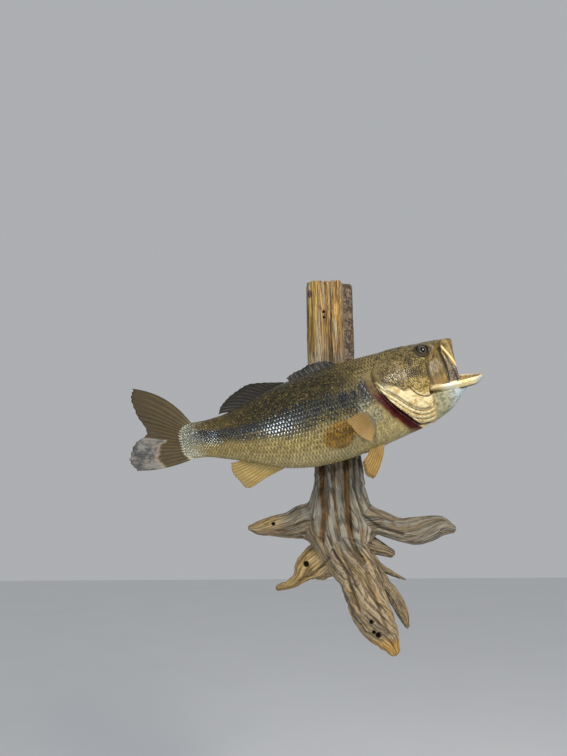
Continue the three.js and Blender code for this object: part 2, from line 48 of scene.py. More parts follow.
# ---------------------------------------------------------------- numbers shared with the CAD model

BODY_TILT = math.radians(13)
BODY_PLANE = 105
BODY_HEIGHT = -141
FLANK, THROAT = 0.86, 1.2  # fullness of a section: 1 is an ellipse

BACK = [
    (-250, 33), (-241, 35), (-225, 38), (-206, 37), (-185, 37.5), (-165, 40), (-140, 46), (-115, 54),
    (-89, 60.5), (-57, 65), (-15, 69), (40, 71.5), (124, 71.5), (155, 69.5), (176, 66.5), (190, 61),
]
BELLY = [
    (-250, -9), (-241, -11), (-225, -15), (-207, -18), (-186, -25.5), (-165, -33.5), (-144, -43),
    (-124, -52), (-103, -60), (-82, -65.5), (-55, -69.5), (-16, -70), (30, -67), (62, -61.5),
    (93, -56.5), (114, -53),
]
BODY_HALF = [
    (-250, 0.9), (-241, 2.2), (-232, 4.2), (-225, 5.6), (-206, 8.5), (-185, 11.5), (-150, 19), (-110, 28),
    (-60, 36), (-15, 39.5), (30, 39.5), (58, 36.5), (76, 31), (92, 23), (105, 13), (114, 7),
]
HEAD_BOTTOM = [
    (46, -62), (80, -56), (108, -52), (122, -51.5), (142, -44.5), (159, -36), (175, -21), (192, -10),
]
HEAD_HALF = [
    (46, 41), (58, 43.5), (78, 44), (100, 41), (118, 36), (136, 30.5), (156, 27), (170, 25),
    (180, 22), (192, 16),
]
EYE = (132, 19, 52)
EYE_RADIUS = 9.5
JAW_HINGE, JAW_RIM, JAW_TIP = 125, 8, 213
TRUNK_REAR, TRUNK_FRONT = -247, 114
JAW_TWIST, JAW_DROOP = math.radians(23), math.radians(4.5)
JAW_HALF = [(125, 31), (150, 30.5), (175, 25.5), (192, 19), (204, 12), (213, 3.5)]
JAW_DEPTH = [(125, 10), (150, 14), (192, 14), (204, 11), (213, 4)]

# ---------------------------------------------------------------- small tools


def sway(a):
    """How far the middle plane swings out from the wall."""
    return -8 * (a / 220) ** 2


def to_row(points):
    """Fish frame in millimetres to the row frame in metres."""
    a, y, b = points[..., 0], points[..., 1], points[..., 2]
    c, s = math.cos(BODY_TILT), math.sin(BODY_TILT)
    return np.stack((a * c - b * s, y - BODY_PLANE, BODY_HEIGHT + a * s + b * c), -1) * MM


def smoothstep(low, high, value):
    """0 at low and before it, 1 at high and past it, smooth between."""
    t = np.clip((value - low) / (high - low), 0, 1)
    return t * t * (3 - 2 * t)


def smooth_min(p, q, k):
    """The lesser of two distances, with a soft corner about k wide."""
    h = np.clip(0.5 + 0.5 * (q - p) / k, 0, 1)
    return q + (p - q) * h - k * h * (1 - h)


def smooth_max(p, q, k):
    return -smooth_min(-p, -q, k)


AXIS = np.arange(-262, 242, 0.5)


def profile(stations):
    """A smooth curve through (x, value) stations, as a function of x."""
    xs, vs = np.array(stations, float).T
    last = len(xs) - 1
    before, after = np.maximum(np.arange(last + 1) - 1, 0), np.minimum(np.arange(last + 1) + 1, last)
    slope = (vs[after] - vs[before]) / (xs[after] - xs[before])
    i = np.clip(np.searchsorted(xs, AXIS, "right") - 1, 0, last - 1)
    run = xs[i + 1] - xs[i]
    t = np.clip((AXIS - xs[i]) / run, 0, 1)
    table = (
        vs[i] * (2 * t**3 - 3 * t**2 + 1) + vs[i + 1] * (3 * t**2 - 2 * t**3)
        + slope[i] * run * (t**3 - 2 * t**2 + t) + slope[i + 1] * run * (t**3 - t**2)
    )
    return lambda x: np.interp(x, AXIS, table)


def spline(points, ts):
    """Centripetal Catmull-Rom through the points, at parameters from 0 to 1."""
    p = np.array(points, float)
    n = len(p)
    p = np.vstack([2 * p[0] - p[1], p, 2 * p[-1] - p[-2]])
    s = np.clip(ts, 0, 1) * (n - 1)
    i = np.minimum(s.astype(int), n - 2)
    w = (s - i)[:, None]
    p0, p1, p2, p3 = (p[i + k] for k in range(4))
    d0, d1, d2 = (np.sqrt(np.linalg.norm(v - u, axis=1, keepdims=True)) + 1e-9
                  for u, v in ((p0, p1), (p1, p2), (p2, p3)))
    t1 = ((p1 - p0) / d0 - (p2 - p0) / (d0 + d1) + (p2 - p1) / d1) * d1
    t2 = ((p2 - p1) / d1 - (p3 - p1) / (d1 + d2) + (p3 - p2) / d2) * d1
    return p1 + t1 * w + (-3 * p1 + 3 * p2 - 2 * t1 - t2) * w**2 + (2 * p1 - 2 * p2 + t1 + t2) * w**3


LATTICE = np.random.default_rng(11).random((64, 64, 64)).astype(np.float32) * 2 - 1


def noise(x, y, z, size):
    """Smooth noise from -1 to 1, with features of the given size or sizes along x, y and z."""
    sizes = size if isinstance(size, tuple) else (size,) * 3
    low, soft = [], []
    for v, step in zip((x, y, z), sizes):
        q = np.asarray(v, np.float32) / step
        i = np.floor(q)
        f = q - i
        low.append(i.astype(np.int32))
        soft.append(f * f * (3 - 2 * f))
    total = 0
    for corner in range(8):
        index, weight = [], 1
        for k in range(3):
            up = corner >> k & 1
            index.append((low[k] + up) & 63)
            weight = weight * (soft[k] if up else 1 - soft[k])
        total = total + weight * LATTICE[tuple(index)]
    return total


# ---------------------------------------------------------------- surfaces from distance functions

BAND = 6.5  # millimetres on each side of the surface where the field is worked out
COARSE = 4  # grid steps between the points of the first, rough pass
CHUNK = 400_000


def distance_grid(function, axes):
    """The field on the grid of axes. Far from the surface only its sign is right."""
    coarse = [np.append(v[::COARSE], v[-1]) for v in axes]
    rough = function(*np.meshgrid(*coarse, indexing="ij")).astype(np.float32)
    nearest = [np.minimum((np.arange(len(v)) + COARSE // 2) // COARSE, len(c) - 1)
               for v, c in zip(axes, coarse)]
    field = rough[np.ix_(*nearest)]
    index = np.nonzero(np.abs(field) < BAND)
    points = [v[i] for v, i in zip(axes, index)]
    for start in range(0, len(points[0]), CHUNK):
        part = slice(start, start + CHUNK)
        field[tuple(i[part] for i in index)] = function(*(p[part] for p in points))
    return field


def surface_nets(field, axes):
    """Vertices and quads of the field's zero surface, one vertex to a cell."""
    inside = field < 0
    count = np.zeros([n - 1 for n in field.shape], np.uint8)
    corners = [(i, j, k) for i in (0, 1) for j in (0, 1) for k in (0, 1)]
    ends = lambda v, n: slice(v, n - 1 + v)
    for corner in corners:
        count += inside[tuple(ends(c, n) for c, n in zip(corner, field.shape))]
    cells = np.array(np.nonzero((count > 0) & (count < 8)))
    number = np.full(count.shape, -1, np.int32)
    number[tuple(cells)] = np.arange(cells.shape[1])
    value = {c: field[tuple(cells + np.array(c)[:, None])] for c in corners}
    total, crossings = np.zeros((3, cells.shape[1])), np.zeros(cells.shape[1])
    for c in corners:
        for axis in range(3):
            if c[axis]:
                continue
            d = tuple(1 if k == axis else c[k] for k in range(3))
            crossed = (value[c] < 0) != (value[d] < 0)
            t = np.where(crossed, value[c] / np.where(crossed, value[c] - value[d], 1), 0)
            for k in range(3):
                total[k] += crossed * (t if k == axis else c[k])
            crossings += crossed
    spot = total / crossings
    vertices = np.stack([
        axes[k][cells[k]] + spot[k] * (axes[k][cells[k] + 1] - axes[k][cells[k]]) for k in range(3)
    ], -1)
    quads = []
    for axis in range(3):
        first = tuple(slice(0, -1) if k == axis else slice(1, -1) for k in range(3))
        second = tuple(slice(1, None) if k == axis else slice(1, -1) for k in range(3))
        crossed = np.nonzero(inside[first] != inside[second])
        base = [i + (k != axis) for k, i in enumerate(crossed)]
        u, v = (axis + 1) % 3, (axis + 2) % 3
        ring = []
        for du, dv in ((1, 1), (0, 1), (0, 0), (1, 0)):
            cell = list(base)
            cell[u], cell[v] = cell[u] - du, cell[v] - dv
            ring.append(number[tuple(cell)])
        ring = np.stack(ring, -1)
        leaving = inside[first][crossed]
        quads.append(np.where(leaving[:, None], ring, ring[:, ::-1]))
    return vertices, np.concatenate(quads)


def largest_shell(vertices, quads):
    """Drops the pieces that aren't joined to the largest one."""
    label = np.arange(len(vertices))
    while True:
        low = label[quads].min(1)
        new = label.copy()
        for k in range(4):
            np.minimum.at(new, quads[:, k], low)
        new = new[new]
        if (new == label).all():
            break
        label = new
    kept = label == np.bincount(label).argmax()
    index = np.cumsum(kept) - 1
    return vertices[kept], index[quads[kept[quads].all(1)]]


def gradient(function, p, step=0.35):
    """The field and its slope at the points."""
    here = function(*p.T)
    slope = [function(*(p + step * np.eye(3)[k]).T) - function(*(p - step * np.eye(3)[k]).T)
             for k in range(3)]
    return here, np.stack(slope, -1) / (2 * step)


def drawn_in(function, p, limit):
    """The points after one step towards the surface, of no more than the limit."""
    here, slope = gradient(function, p)
    size = np.maximum((slope**2).sum(-1), 0.25)
    return p - np.clip(here / size, -limit, limit)[:, None] * slope


def skin_of(function, axes):
    """Vertices and quads of the surface, without loose pieces."""
    vertices, quads = largest_shell(*surface_nets(distance_grid(function, axes), axes))
    for _ in range(2):
        vertices = drawn_in(function, vertices, 0.6)
    return vertices, quads


# ---------------------------------------------------------------- head seen from the side

SIDE_STEP = 0.5
SIDE_A, SIDE_B = np.arange(20, 226, SIDE_STEP), np.arange(-86, 102, SIDE_STEP)
SIDE = np.meshgrid(SIDE_A, SIDE_B, indexing="ij")


def between(table, u, v):
    """A table's value at the fractional places (u, v) of its grid."""
    u, v = np.clip(u, 0, table.shape[0] - 1.001), np.clip(v, 0, table.shape[1] - 1.001)
    i, j = u.astype(np.int32), v.astype(np.int32)
    u, v = u - i, v - j
    if table.ndim > 2:
        u, v = u[..., None], v[..., None]
    return (
        table[i, j] * (1 - u) * (1 - v) + table[i + 1, j] * u * (1 - v)
        + table[i, j + 1] * (1 - u) * v + table[i + 1, j + 1] * u * v
    )


def lookup(table, a, b):
    """A side table at (a, b), between its grid's points."""
    return between(table, (a - SIDE_A[0]) / SIDE_STEP, (b - SIDE_B[0]) / SIDE_STEP)


def line_gap(x, y, line):
    """Distance in a plane to a line of points."""
    best = np.full(x.shape, 1e6)
    for (px, py), (qx, qy) in zip(line, line[1:]):
        ux, uy = qx - px, qy - py
        t = np.clip(((x - px) * ux + (y - py) * uy) / (ux * ux + uy * uy + 1e-9), 0, 1)
        best = np.minimum(best, (x - px - t * ux) ** 2 + (y - py - t * uy) ** 2)
    return np.sqrt(best)


def ring_gap(x, y, points):
    """Signed distance in a plane to a closed outline, negative inside."""
    ring = list(points) + [points[0]]
    inside = np.zeros(x.shape, bool)
    for (px, py), (qx, qy) in zip(ring, ring[1:]):
        if py != qy:
            inside ^= ((py > y) != (qy > y)) & (x < px + (y - py) * (qx - px) / (qy - py))
    return np.where(inside, -1, 1) * line_gap(x, y, ring)


def line_distance(points):
    """Side table of the distance to a line."""
    return line_gap(*SIDE, points)


def rounded(points, per=6):
    """A smooth line through the points, with per steps from one to the next."""
    return [tuple(p) for p in spline(points, np.linspace(0, 1, per * (len(points) - 1) + 1))]


def outline_distance(points):
    """Side table of the signed distance to a closed outline."""
    return ring_gap(*SIDE, points)


GILL_EDGE = rounded([
    (60, 49), (56, 43), (52, 37), (51.5, 30), (53, 20), (57, 5), (65, -11), (75, -25), (91, -41), (108, -54),
])
MOUTH_EDGE = [(204, -2), (171, -4), (174, 25), (181, 48), (187, 62), (190, 101)]
HEAD_SIDE = outline_distance(
    [(20, 101), (20, 56), (48, 54)] + GILL_EDGE + [(108, -86), (204, -86)] + MOUTH_EDGE
)
OPERCLE_LOW = rounded([(53, 26), (58, 21), (65, 15), (72, 10), (79, 5), (86.5, -2.5)])
OPERCLE = outline_distance(
    OPERCLE_LOW + rounded([(91, 2), (93, 10), (92, 22), (91, 31), (87, 38)])
    + rounded([(80, 40), (70, 41), (61, 40), (54, 37)])
)
SUB_LOW = rounded([(53, 22), (63, 6), (75, -6), (85, -17), (94, -25), (103, -30), (117, -31), (124, -26)])
SUB_LINE = line_distance(SUB_LOW)
SUBOPERCLE = outline_distance(SUB_LOW + [(128, -11), (122, -15), (108, -13), (99, -4)] + OPERCLE_LOW[::-1])
PRE_LINE = rounded([(99, 49), (94, 38), (92, 24), (93, 8), (99, -4), (108, -13), (121, -15.5), (130, -10)])
PREOPERCLE = outline_distance(PRE_LINE + [(133, -2), (130, 16), (138, 44), (150, 60), (120, 62)])
PRE_EDGE = line_distance(PRE_LINE)
MEMBRANE = outline_distance(
    rounded([(131, -9), (129, 5), (129.5, 18), (133, 34), (140, 47)])
    + rounded([(166, 67), (155.5, 44), (156.5, 23), (156, -2), (150, -12)])
)
MAXILLA = outline_distance(
    rounded([(155, -5), (157.5, 12), (157.5, 24), (156.5, 44), (166, 64)])
    + [(190, 72), (190, 40), (182, -8)]
)
MAXILLA_REAR = line_distance(rounded([(155, -5), (157.5, 12), (157.5, 24), (156.5, 44), (166, 66)]))
MAXILLA_RIDGE = line_distance(rounded([(161, 53), (164.5, 42), (169, 30), (173, 18)]))
MAXILLA_CREASE = line_distance(rounded([(161, 44), (164, 28), (167, 12), (168, -4)]))
CHEEK_CREASE = line_distance(rounded([(140, 47), (133, 34), (129.5, 18), (129.5, 4), (131, -8)]))
GILL_LINE = line_distance(GILL_EDGE)
EYE_SPOT = np.hypot(SIDE[0] - EYE[0], SIDE[1] - EYE[2])


def plate(distance, height, edge):
    """Raised inside an outline."""
    return height * smoothstep(edge, -edge, distance)


def groove(distance, depth, width):
    """Sunk along a line."""
    return -depth * np.exp(-(distance / width) ** 2)


def over_cover(a, b):
    """Height above the gill cover's lower edge."""
    return b - np.interp(a, *np.array(SUB_LOW).T)


RIB_STEP = 5.2  # from one rib under the gill cover to the next


def head_relief():
    """How far the head's surface stands out from its loft, seen from the side."""
    a, b = SIDE
    relief = plate(OPERCLE, 1.0, 0.9) + groove(line_distance(OPERCLE_LOW), 0.8, 0.9)
    relief += plate(PREOPERCLE, 0.9, 0.7) + groove(PRE_EDGE, 0.8, 0.8) * smoothstep(8, -4, b)
    below = smoothstep(0.6, -0.6, over_cover(a, b)) * smoothstep(126, 119, a)
    relief += below * (-1.3 + 0.6 * np.cos(2 * np.pi * SUB_LINE / RIB_STEP)) * smoothstep(0, 3, SUB_LINE)
    relief += groove(SUB_LINE, 0.8, 1.2) * smoothstep(126, 119, a)
    relief += plate(MEMBRANE, -1.6, 2.5) + groove(CHEEK_CREASE, 0.9, 1.4)
    relief += plate(MAXILLA, 0.7, 1.0) + groove(MAXILLA_REAR + 1.0, 1.2, 1.0)
    relief += groove(MAXILLA_CREASE, 1.4, 1.3) - groove(MAXILLA_RIDGE, 0.9, 1.6)
    relief += groove(MAXILLA_RIDGE - 4.2, 0.7, 1.1)
    relief += -1.6 * smoothstep(122, 128, a) * smoothstep(-2, -8, b)
    relief += 1.1 * np.exp(-((EYE_SPOT - 12.2) / 1.8) ** 2) - 0.7 * np.exp(-((EYE_SPOT - 16.3) / 2) ** 2)
    for pit_a, pit_b, size in ((149, 62.5, 1.5), (155.5, 63.5, 1.2), (109, -8, 0.9), (118, -10, 0.9)):
        relief += groove(np.hypot(a - pit_a, b - pit_b), 1.4, size)
    return relief


RELIEF = head_relief()

# ---------------------------------------------------------------- the fish's flesh as one distance function

back_at, belly_at, body_half_at = profile(BACK), profile(BELLY), profile(BODY_HALF)
bottom_at, head_half_at = profile(HEAD_BOTTOM), profile(HEAD_HALF)
jaw_half_at, jaw_depth_at = profile(JAW_HALF), profile(JAW_DEPTH)
COAT_DEPTH = 0.9  # the skin lies this far inside the CAD flesh where scales cover it


def loft_distance(across, b, half_width, top, bottom, low_fullness):
    """Distance to a section that is fuller or slimmer than an ellipse."""
    middle, half = (top + bottom) / 2, (top - bottom) / 2
    u = np.abs(across) / half_width + 1e-6
    v = np.abs(b - middle) / half + 1e-6
    wide, high = np.where(b < middle, 2 / low_fullness, 2 / FLANK), 2 / FLANK
    power = (wide + high) / 2
    up, vp = u ** (wide - 1), v ** (high - 1)
    total = u * up + v * vp
    slope = np.hypot(wide * up / half_width, high * vp / half) * total ** (1 / power - 1) / power
    return (total ** (1 / power) - 1) / slope


def trunk_distance(a, y, b):
    """The body, from the tail's root to inside the head."""
    d = loft_distance(y - sway(a), b, body_half_at(a), back_at(a), belly_at(a), FLANK)
    return np.maximum(smooth_max(d, TRUNK_REAR - a, 2), a - TRUNK_FRONT)


def head_loft(a, y, b):
    """The head's plain form, before its bones are raised on it."""
    low = FLANK + (THROAT - FLANK) * smoothstep(100, 135, a)
    return loft_distance(y - sway(a), b, head_half_at(a), back_at(a), bottom_at(a), low)


def ellipsoid(p, centre, radii):
    """Distance to an ellipsoid, near enough."""
    q = [(v - c) / r for v, c, r in zip(p, centre, radii)]
    r = np.sqrt(sum(v * v for v in q)) + 1e-6
    slope = np.sqrt(sum((v / s) ** 2 for v, s in zip(q, radii))) / r + 1e-9
    return (r - 1) / slope


JAW_CENTRE = (JAW_HINGE, sway(170), JAW_RIM)


def turned(u, v, angle):
    """A point turned in a plane."""
    c, s = math.cos(angle), math.sin(angle)
    return u * c - v * s, u * s + v * c


def jaw_frame(a, y, b):
    """The point in the jaw's own frame, before it was twisted and lowered."""
    x, y, z = a - JAW_CENTRE[0], y - JAW_CENTRE[1], b - JAW_CENTRE[2]
    x, z = turned(x, z, JAW_DROOP)
    y, z = turned(y, z, -JAW_TWIST)
    return x + JAW_HINGE, y, z


def oval(y, z, wide, deep):
    """Distance to an oval section, near enough."""
    u, v = y / wide, z / deep
    r = np.hypot(u, v) + 1e-6
    return (r - 1) * r / np.maximum(np.hypot(u / wide, v / deep), 1e-6)


def jaw_distance(x, y, z):
    """(the jaw with its scoop, the jaw filled, the lip band's zone, the scoop), in the jaw's frame."""
    wide, deep = jaw_half_at(x), jaw_depth_at(x)
    full = np.maximum(smooth_max(oval(y, z, wide, deep), x - JAW_TIP, 3), JAW_HINGE - x)
    filled = smooth_max(full, z, 1.0)
    scoop = np.maximum(oval(y, z, np.maximum(wide - 3.5, 1), np.maximum(deep - 3.5, 1)), x - 207)
    jaw = smooth_max(filled, -scoop, 1.5)
    lip = np.hypot(np.abs(y) - (wide - 2.2), z + 1.6) - 2.5
    jaw = smooth_min(jaw, np.maximum(lip, np.abs(x - 168) - 42), 1.5)
    band = np.maximum(np.maximum(z - 0.4, -10 - z), 124 - x)
    return jaw, filled, band, scoop


def eye_distance(a, y, b, radius):
    """Distance to a ball round the nearer eye's centre."""
    off = np.abs(y - sway(EYE[0])) - EYE[1]
    return np.sqrt((a - EYE[0]) ** 2 + off**2 + (b - EYE[2]) ** 2) - radius


CHEEK_THICKNESS, EYE_WALL, EYE_GAP = 5.2, 2.4, 0.4


def mouth_cavity(a, y, b):
    """The hollow of the mouth, inside the cheeks and clear of the eyeballs."""
    gullet = ellipsoid((a, y, b), (190, sway(190), 28), (64, 44, 42))
    hollow = np.maximum(head_loft(a, y, b) + CHEEK_THICKNESS, gullet)
    return smooth_max(hollow, -eye_distance(a, y, b, EYE_RADIUS + EYE_WALL), 1)


def head_distance(a, y, b):
    """(the head with its mouth and gill chamber cut out, the trunk)."""
    loft = head_loft(a, y, b)
    d = loft - lookup(RELIEF, a, b) + 0.5
    d = d + 7 * smoothstep(86, 50, a) * smoothstep(43, 54, b)
    side = lookup(HEAD_SIDE, a, b)
    d = smooth_max(d, side, 1.0)
    across = y - sway(184)
    plan = (a - 184 + 14 * (across / 24) ** 2) / np.sqrt(1 + (28 * across / 576) ** 2)
    d = smooth_max(d, plan, 2.0)
    trunk = trunk_distance(a, y, b)
    room = np.maximum(trunk - 2.5, b - 46)
    chamber = np.maximum(np.maximum(lookup(GILL_LINE, a, b) - 17, loft + 3.4), b - 36)
    chamber = np.maximum(chamber, a - 116)
    d = smooth_max(d, -smooth_min(room, chamber, 2), 0.8)
    d = smooth_max(d, -mouth_cavity(a, y, b), 1.5)
    return smooth_max(d, -eye_distance(a, y, b, EYE_RADIUS + EYE_GAP), 0.8), trunk


def flesh_distance(a, y, b):
    """Head, jaw, tongue and trunk as one closed form."""
    d, trunk = head_distance(a, y, b)
    x, jy, jz = jaw_frame(a, y, b)
    jaw, filled, band, _ = jaw_distance(x, jy, jz)
    d = smooth_max(d, -smooth_min(filled, band, 0.5), 0.6)
    d = smooth_min(d, jaw, 0.9)
    tongue = np.maximum(ellipsoid((x, jy, jz), (163, 0, -9), (27, 10, 8)), filled)
    d = smooth_min(d, tongue, 2.0)
    return smooth_min(d, trunk + COAT_DEPTH, 0.8)


FLESH = [  # the CAD nodes that the skin stands for
    "trunk_front", "trunk_middle", "tail_stalk", "head", "gill_cover_right", "gill_cover_left",
    "branchiostegals_right", "branchiostegals_left", "throat", "lower_jaw", "tongue", "maxilla_right",
    "maxilla_left", "premaxilla",
]


TRUNK_STEP, HEAD_STEP, ACROSS_STEP = 2.2, 1.05, 1.2


def flesh_skin():
    """Vertices and quads of the fish's skin."""
    axes = [
        np.concatenate([np.arange(-251, 42, TRUNK_STEP), np.arange(44, 218, HEAD_STEP)]),
        np.arange(-57, 47, ACROSS_STEP),
        np.arange(-78, 77, ACROSS_STEP),
    ]
    return skin_of(flesh_distance, axes)


# ---------------------------------------------------------------- meshes


def add_object(name, data):
    thing = bpy.data.objects.new(name, data)
    bpy.context.scene.collection.objects.link(thing)
    return thing


def make_mesh(name, vertices, faces, material, vectors=None, uvs=None):
    """A mesh object from arrays. faces is a list of arrays of quads or of triangles."""
    mesh = bpy.data.meshes.new(name)
    sizes = np.concatenate([np.full(len(f), f.shape[1]) for f in faces])
    loops = np.concatenate([f.ravel() for f in faces]).astype(np.int32)
    mesh.vertices.add(len(vertices))
    mesh.vertices.foreach_set("co", np.asarray(vertices, np.float32).ravel())
    mesh.loops.add(len(loops))
    mesh.loops.foreach_set("vertex_index", loops)
    mesh.polygons.add(len(sizes))
    mesh.polygons.foreach_set("loop_start", (np.cumsum(sizes) - sizes).astype(np.int32))
    mesh.update(calc_edges=True)
    for key, values in (vectors or {}).items():
        layer = mesh.attributes.new(key, "FLOAT_VECTOR", "POINT")
        layer.data.foreach_set("vector", np.asarray(values, np.float32).ravel())
    if uvs is not None:
        layer = mesh.uv_layers.new(name="OFBake")
        layer.uv.foreach_set("vector", np.asarray(uvs, np.float32)[loops].ravel())
    mesh.polygons.foreach_set("use_smooth", np.full(len(sizes), True))
    mesh.validate()
    mesh.materials.append(material)
    return add_object(name, mesh)


def grid_quads(rows, cols):
    """The quads between the points of a grid."""
    i, j = np.meshgrid(np.arange(rows - 1), np.arange(cols - 1), indexing="ij")
    corner = (i * cols + j).ravel()
    return np.stack([corner, corner + 1, corner + cols + 1, corner + cols], -1)


# ---------------------------------------------------------------- zones that drive the colours

BLOTCHES = [(34, 15, 6.5), (18, 11, 4), (3, 8, 6.5), (-18, 8, 6.5), (-40, 7, 7), (-62, 6, 8), (-84, 4, 8)]
PECTORAL_BASE = (42, -24)
STRIPE = [(-262, 20), (-224, 18), (-188, 11), (-152, 6), (-123, 4), (-84, 4), (-40, 6), (70, 6)]
stripe_at = profile(STRIPE)


def as_layers(**rows):
    """Vertex layers from three values each."""
    return {name: np.stack(values, -1) for name, values in rows.items()}


def side_share(a, b):
    """Height between the belly, -1, and the back, 1."""
    bottom = np.where(a < 90, belly_at(a), bottom_at(a))
    return np.clip((b - (back_at(a) + bottom) / 2) / ((back_at(a) - bottom) / 2), -1.2, 1.2)


def stripe_mask(a, b):
    """The dark blotches of the flank, which run together to a line towards the tail."""
    spots = np.zeros_like(a)
    for at, level, wide in BLOTCHES:
        spot = np.exp(-((a - at) / wide) ** 2 - ((b - level) / (1.55 * wide)) ** 2)
        spots = np.maximum(spots, 1.5 * spot)
    half = 5.5 + 5 * smoothstep(-110, -70, a)
    line = np.exp(-((b - stripe_at(a)) / half) ** 2) * smoothstep(-236, -222, a)
    return np.maximum(spots, line * (1 - 0.62 * smoothstep(-105, -50, a)) * smoothstep(64, 30, a))


def body_zones(p):
    """Vertex layers of every skin and coat piece: lie (height, stripe, head), edge (gill, painted shade
    beside it, throat), tint (way out from the painted shadow of the pectoral fin, chest, pectoral base),
    mark (place)."""
    a, y, b = p.T
    side = lookup(HEAD_SIDE, a, b)
    head = smoothstep(-1, 2, -side) * smoothstep(66, 92, a + 20 * smoothstep(50, 44, b))
    beside = smoothstep(0, 1.5, side) * smoothstep(34, 16, b) * (a < 116)
    near = lookup(GILL_LINE, a, b) + 1.2 * noise(a, b, 0, 7)
    throat = smoothstep(117, 133, a + 3 * noise(a, b, 0, 9)) * smoothstep(-5, -9, b + 0.1 * (a - 120))
    ragged = 0.16 * noise(a, b, 5, 11)
    fin_shadow = np.abs((a + 14) / 25) ** 2.2 + np.abs((b + 36 - 0.12 * a) / 18.5) ** 2.2
    fin_shadow = fin_shadow ** (1 / 2.2) + ragged + 3 * (y > 0)  # an oval of painted shadow cast by the pectoral fin, on the right side only
    base = np.exp(-((a - PECTORAL_BASE[0]) / 9) ** 2 - ((b - PECTORAL_BASE[1]) / 11) ** 2)
    chest = smoothstep(22, 52, a - 0.5 * b) * smoothstep(4, -16, b) * (1 - head)
    gill = beside * smoothstep(13, 9, near) * smoothstep(9, -1, b) * smoothstep(-56, -50, b)
    return as_layers(
        lie=[side_share(a, b), stripe_mask(a, b), head],
        edge=[gill, beside * smoothstep(18, 9, near), throat],
        tint=[fin_shadow, chest, base],
        mark=[a, y, b],
    )


def flesh_zones(p):
    """Layers of the skin alone: face (pale, membrane, jaw bone), inner (mouth, gill, dark crease lines with
    painted shade), trim (jaw lip, ridge of the jaw bone, its lower end) and pleat (way from the first fold,
    how much they show)."""
    a, y, b = p.T
    x, jy, jz = jaw_frame(a, y, b)
    jaw, _, _, scoop = jaw_distance(x, jy, jz)
    loft, side = head_loft(a, y, b), lookup(HEAD_SIDE, a, b)
    on_head = side < 1.5
    over = over_cover(a, b)
    pleated = smoothstep(1.5, -1.5, over) * on_head * smoothstep(128, 120, a)
    fold = smoothstep(4, -1, np.abs(lookup(PRE_EDGE, a, b) - 2)) * smoothstep(2, -4, b) * (a < 129)
    pale = smoothstep(1.5, -1, lookup(SUBOPERCLE, a, b)) * smoothstep(15, 5, b)
    pale = np.maximum.reduce([pale, (over < 0) * on_head, fold]) * smoothstep(128, 121, a)
    lip = smoothstep(1.6, 0.4, np.abs(jaw)) * smoothstep(-11.5, -10, jz) * (a > 126)
    membrane = smoothstep(1, -1, lookup(MEMBRANE, a, b)) * smoothstep(-9, -6, jz)
    bone = smoothstep(0.5, -0.8, lookup(MAXILLA, a, b)) * smoothstep(-7, -4, jz) * (a > 150)
    inside = smoothstep(-3.2, -4.4, loft) * smoothstep(1.0, -0.2, mouth_cavity(a, y, b) - 0.4)
    inside = np.maximum(inside, smoothstep(0.9, 0.2, scoop) * (x > 121) * smoothstep(1.5, -0.5, jz))
    gill = on_head * smoothstep(-2.6, -3.6, loft) * smoothstep(22, 18, lookup(GILL_LINE, a, b))
    gill = gill * (a < 118) * smoothstep(12, 2, b)
    slit = np.abs(lookup(MAXILLA_REAR, a, b) - 0.6)
    rear = np.abs(lookup(CHEEK_CREASE, a, b) - 0.5)
    under_lip_shadow = smoothstep(-9.3, -10.4, jz) * smoothstep(-13.4, -12, jz) * smoothstep(2.2, 0.6, np.abs(jaw))
    # painted shade with the seams' own dark: lines along the creases, slits and nostril, round the eye and
    # under the lip
    crease_shade = np.maximum.reduce([
        smoothstep(1.3, 0.2, lookup(PRE_EDGE, a, b)) * smoothstep(12, 0, b),
        0.7 * smoothstep(2.4, 0.2, lookup(SUB_LINE, a, b)) * (a < 120) * (b < 6),
        smoothstep(1.5, 0.4, lookup(MAXILLA_CREASE, a, b)) * bone,
        0.95 * smoothstep(2.3, 0.6, slit) * smoothstep(-4, 3, b) * smoothstep(60, 48, b),
        smoothstep(2.2, 0.6, np.hypot(a - 157, b - 50) - 1.5),  # the nostril
        under_lip_shadow * (a > 129) * (a < 206),
        0.95 * smoothstep(13.6, 11.2, np.hypot(a - EYE[0], b - EYE[2])) * (side < 0),
        0.7 * smoothstep(5.5, 1.5, rear) * smoothstep(38, 26, b) * smoothstep(-6, 2, b),
    ])
    ridge = smoothstep(2.4, 0.8, lookup(MAXILLA_RIDGE, a, b)) * bone
    low_bone = bone * smoothstep(26, 10, b) * smoothstep(1.5, 4.5, lookup(MAXILLA_REAR, a, b))
    return as_layers(
        face=[pale, membrane, bone],
        inner=[inside, gill, crease_shade * (1 - 0.8 * inside)],
        trim=[lip, ridge, low_bone],
        pleat=[lookup(SUB_LINE, a, b), pleated, 0 * a],
    )


# ---------------------------------------------------------------- scales

ROWS = 24
TABLE_A = np.arange(-250, 132, 1.5)
TABLE_S = np.linspace(0, 1, 161)


def settle(p):
    """Moves points, whose y is from the middle plane, onto the fish's skin."""
    p = p + np.stack([0 * p[:, 0], sway(p[:, 0]), 0 * p[:, 0]], -1)
    for _ in range(6):
        p = drawn_in(flesh_distance, p, 3)
    p[:, 1] -= sway(p[:, 0])
    return p


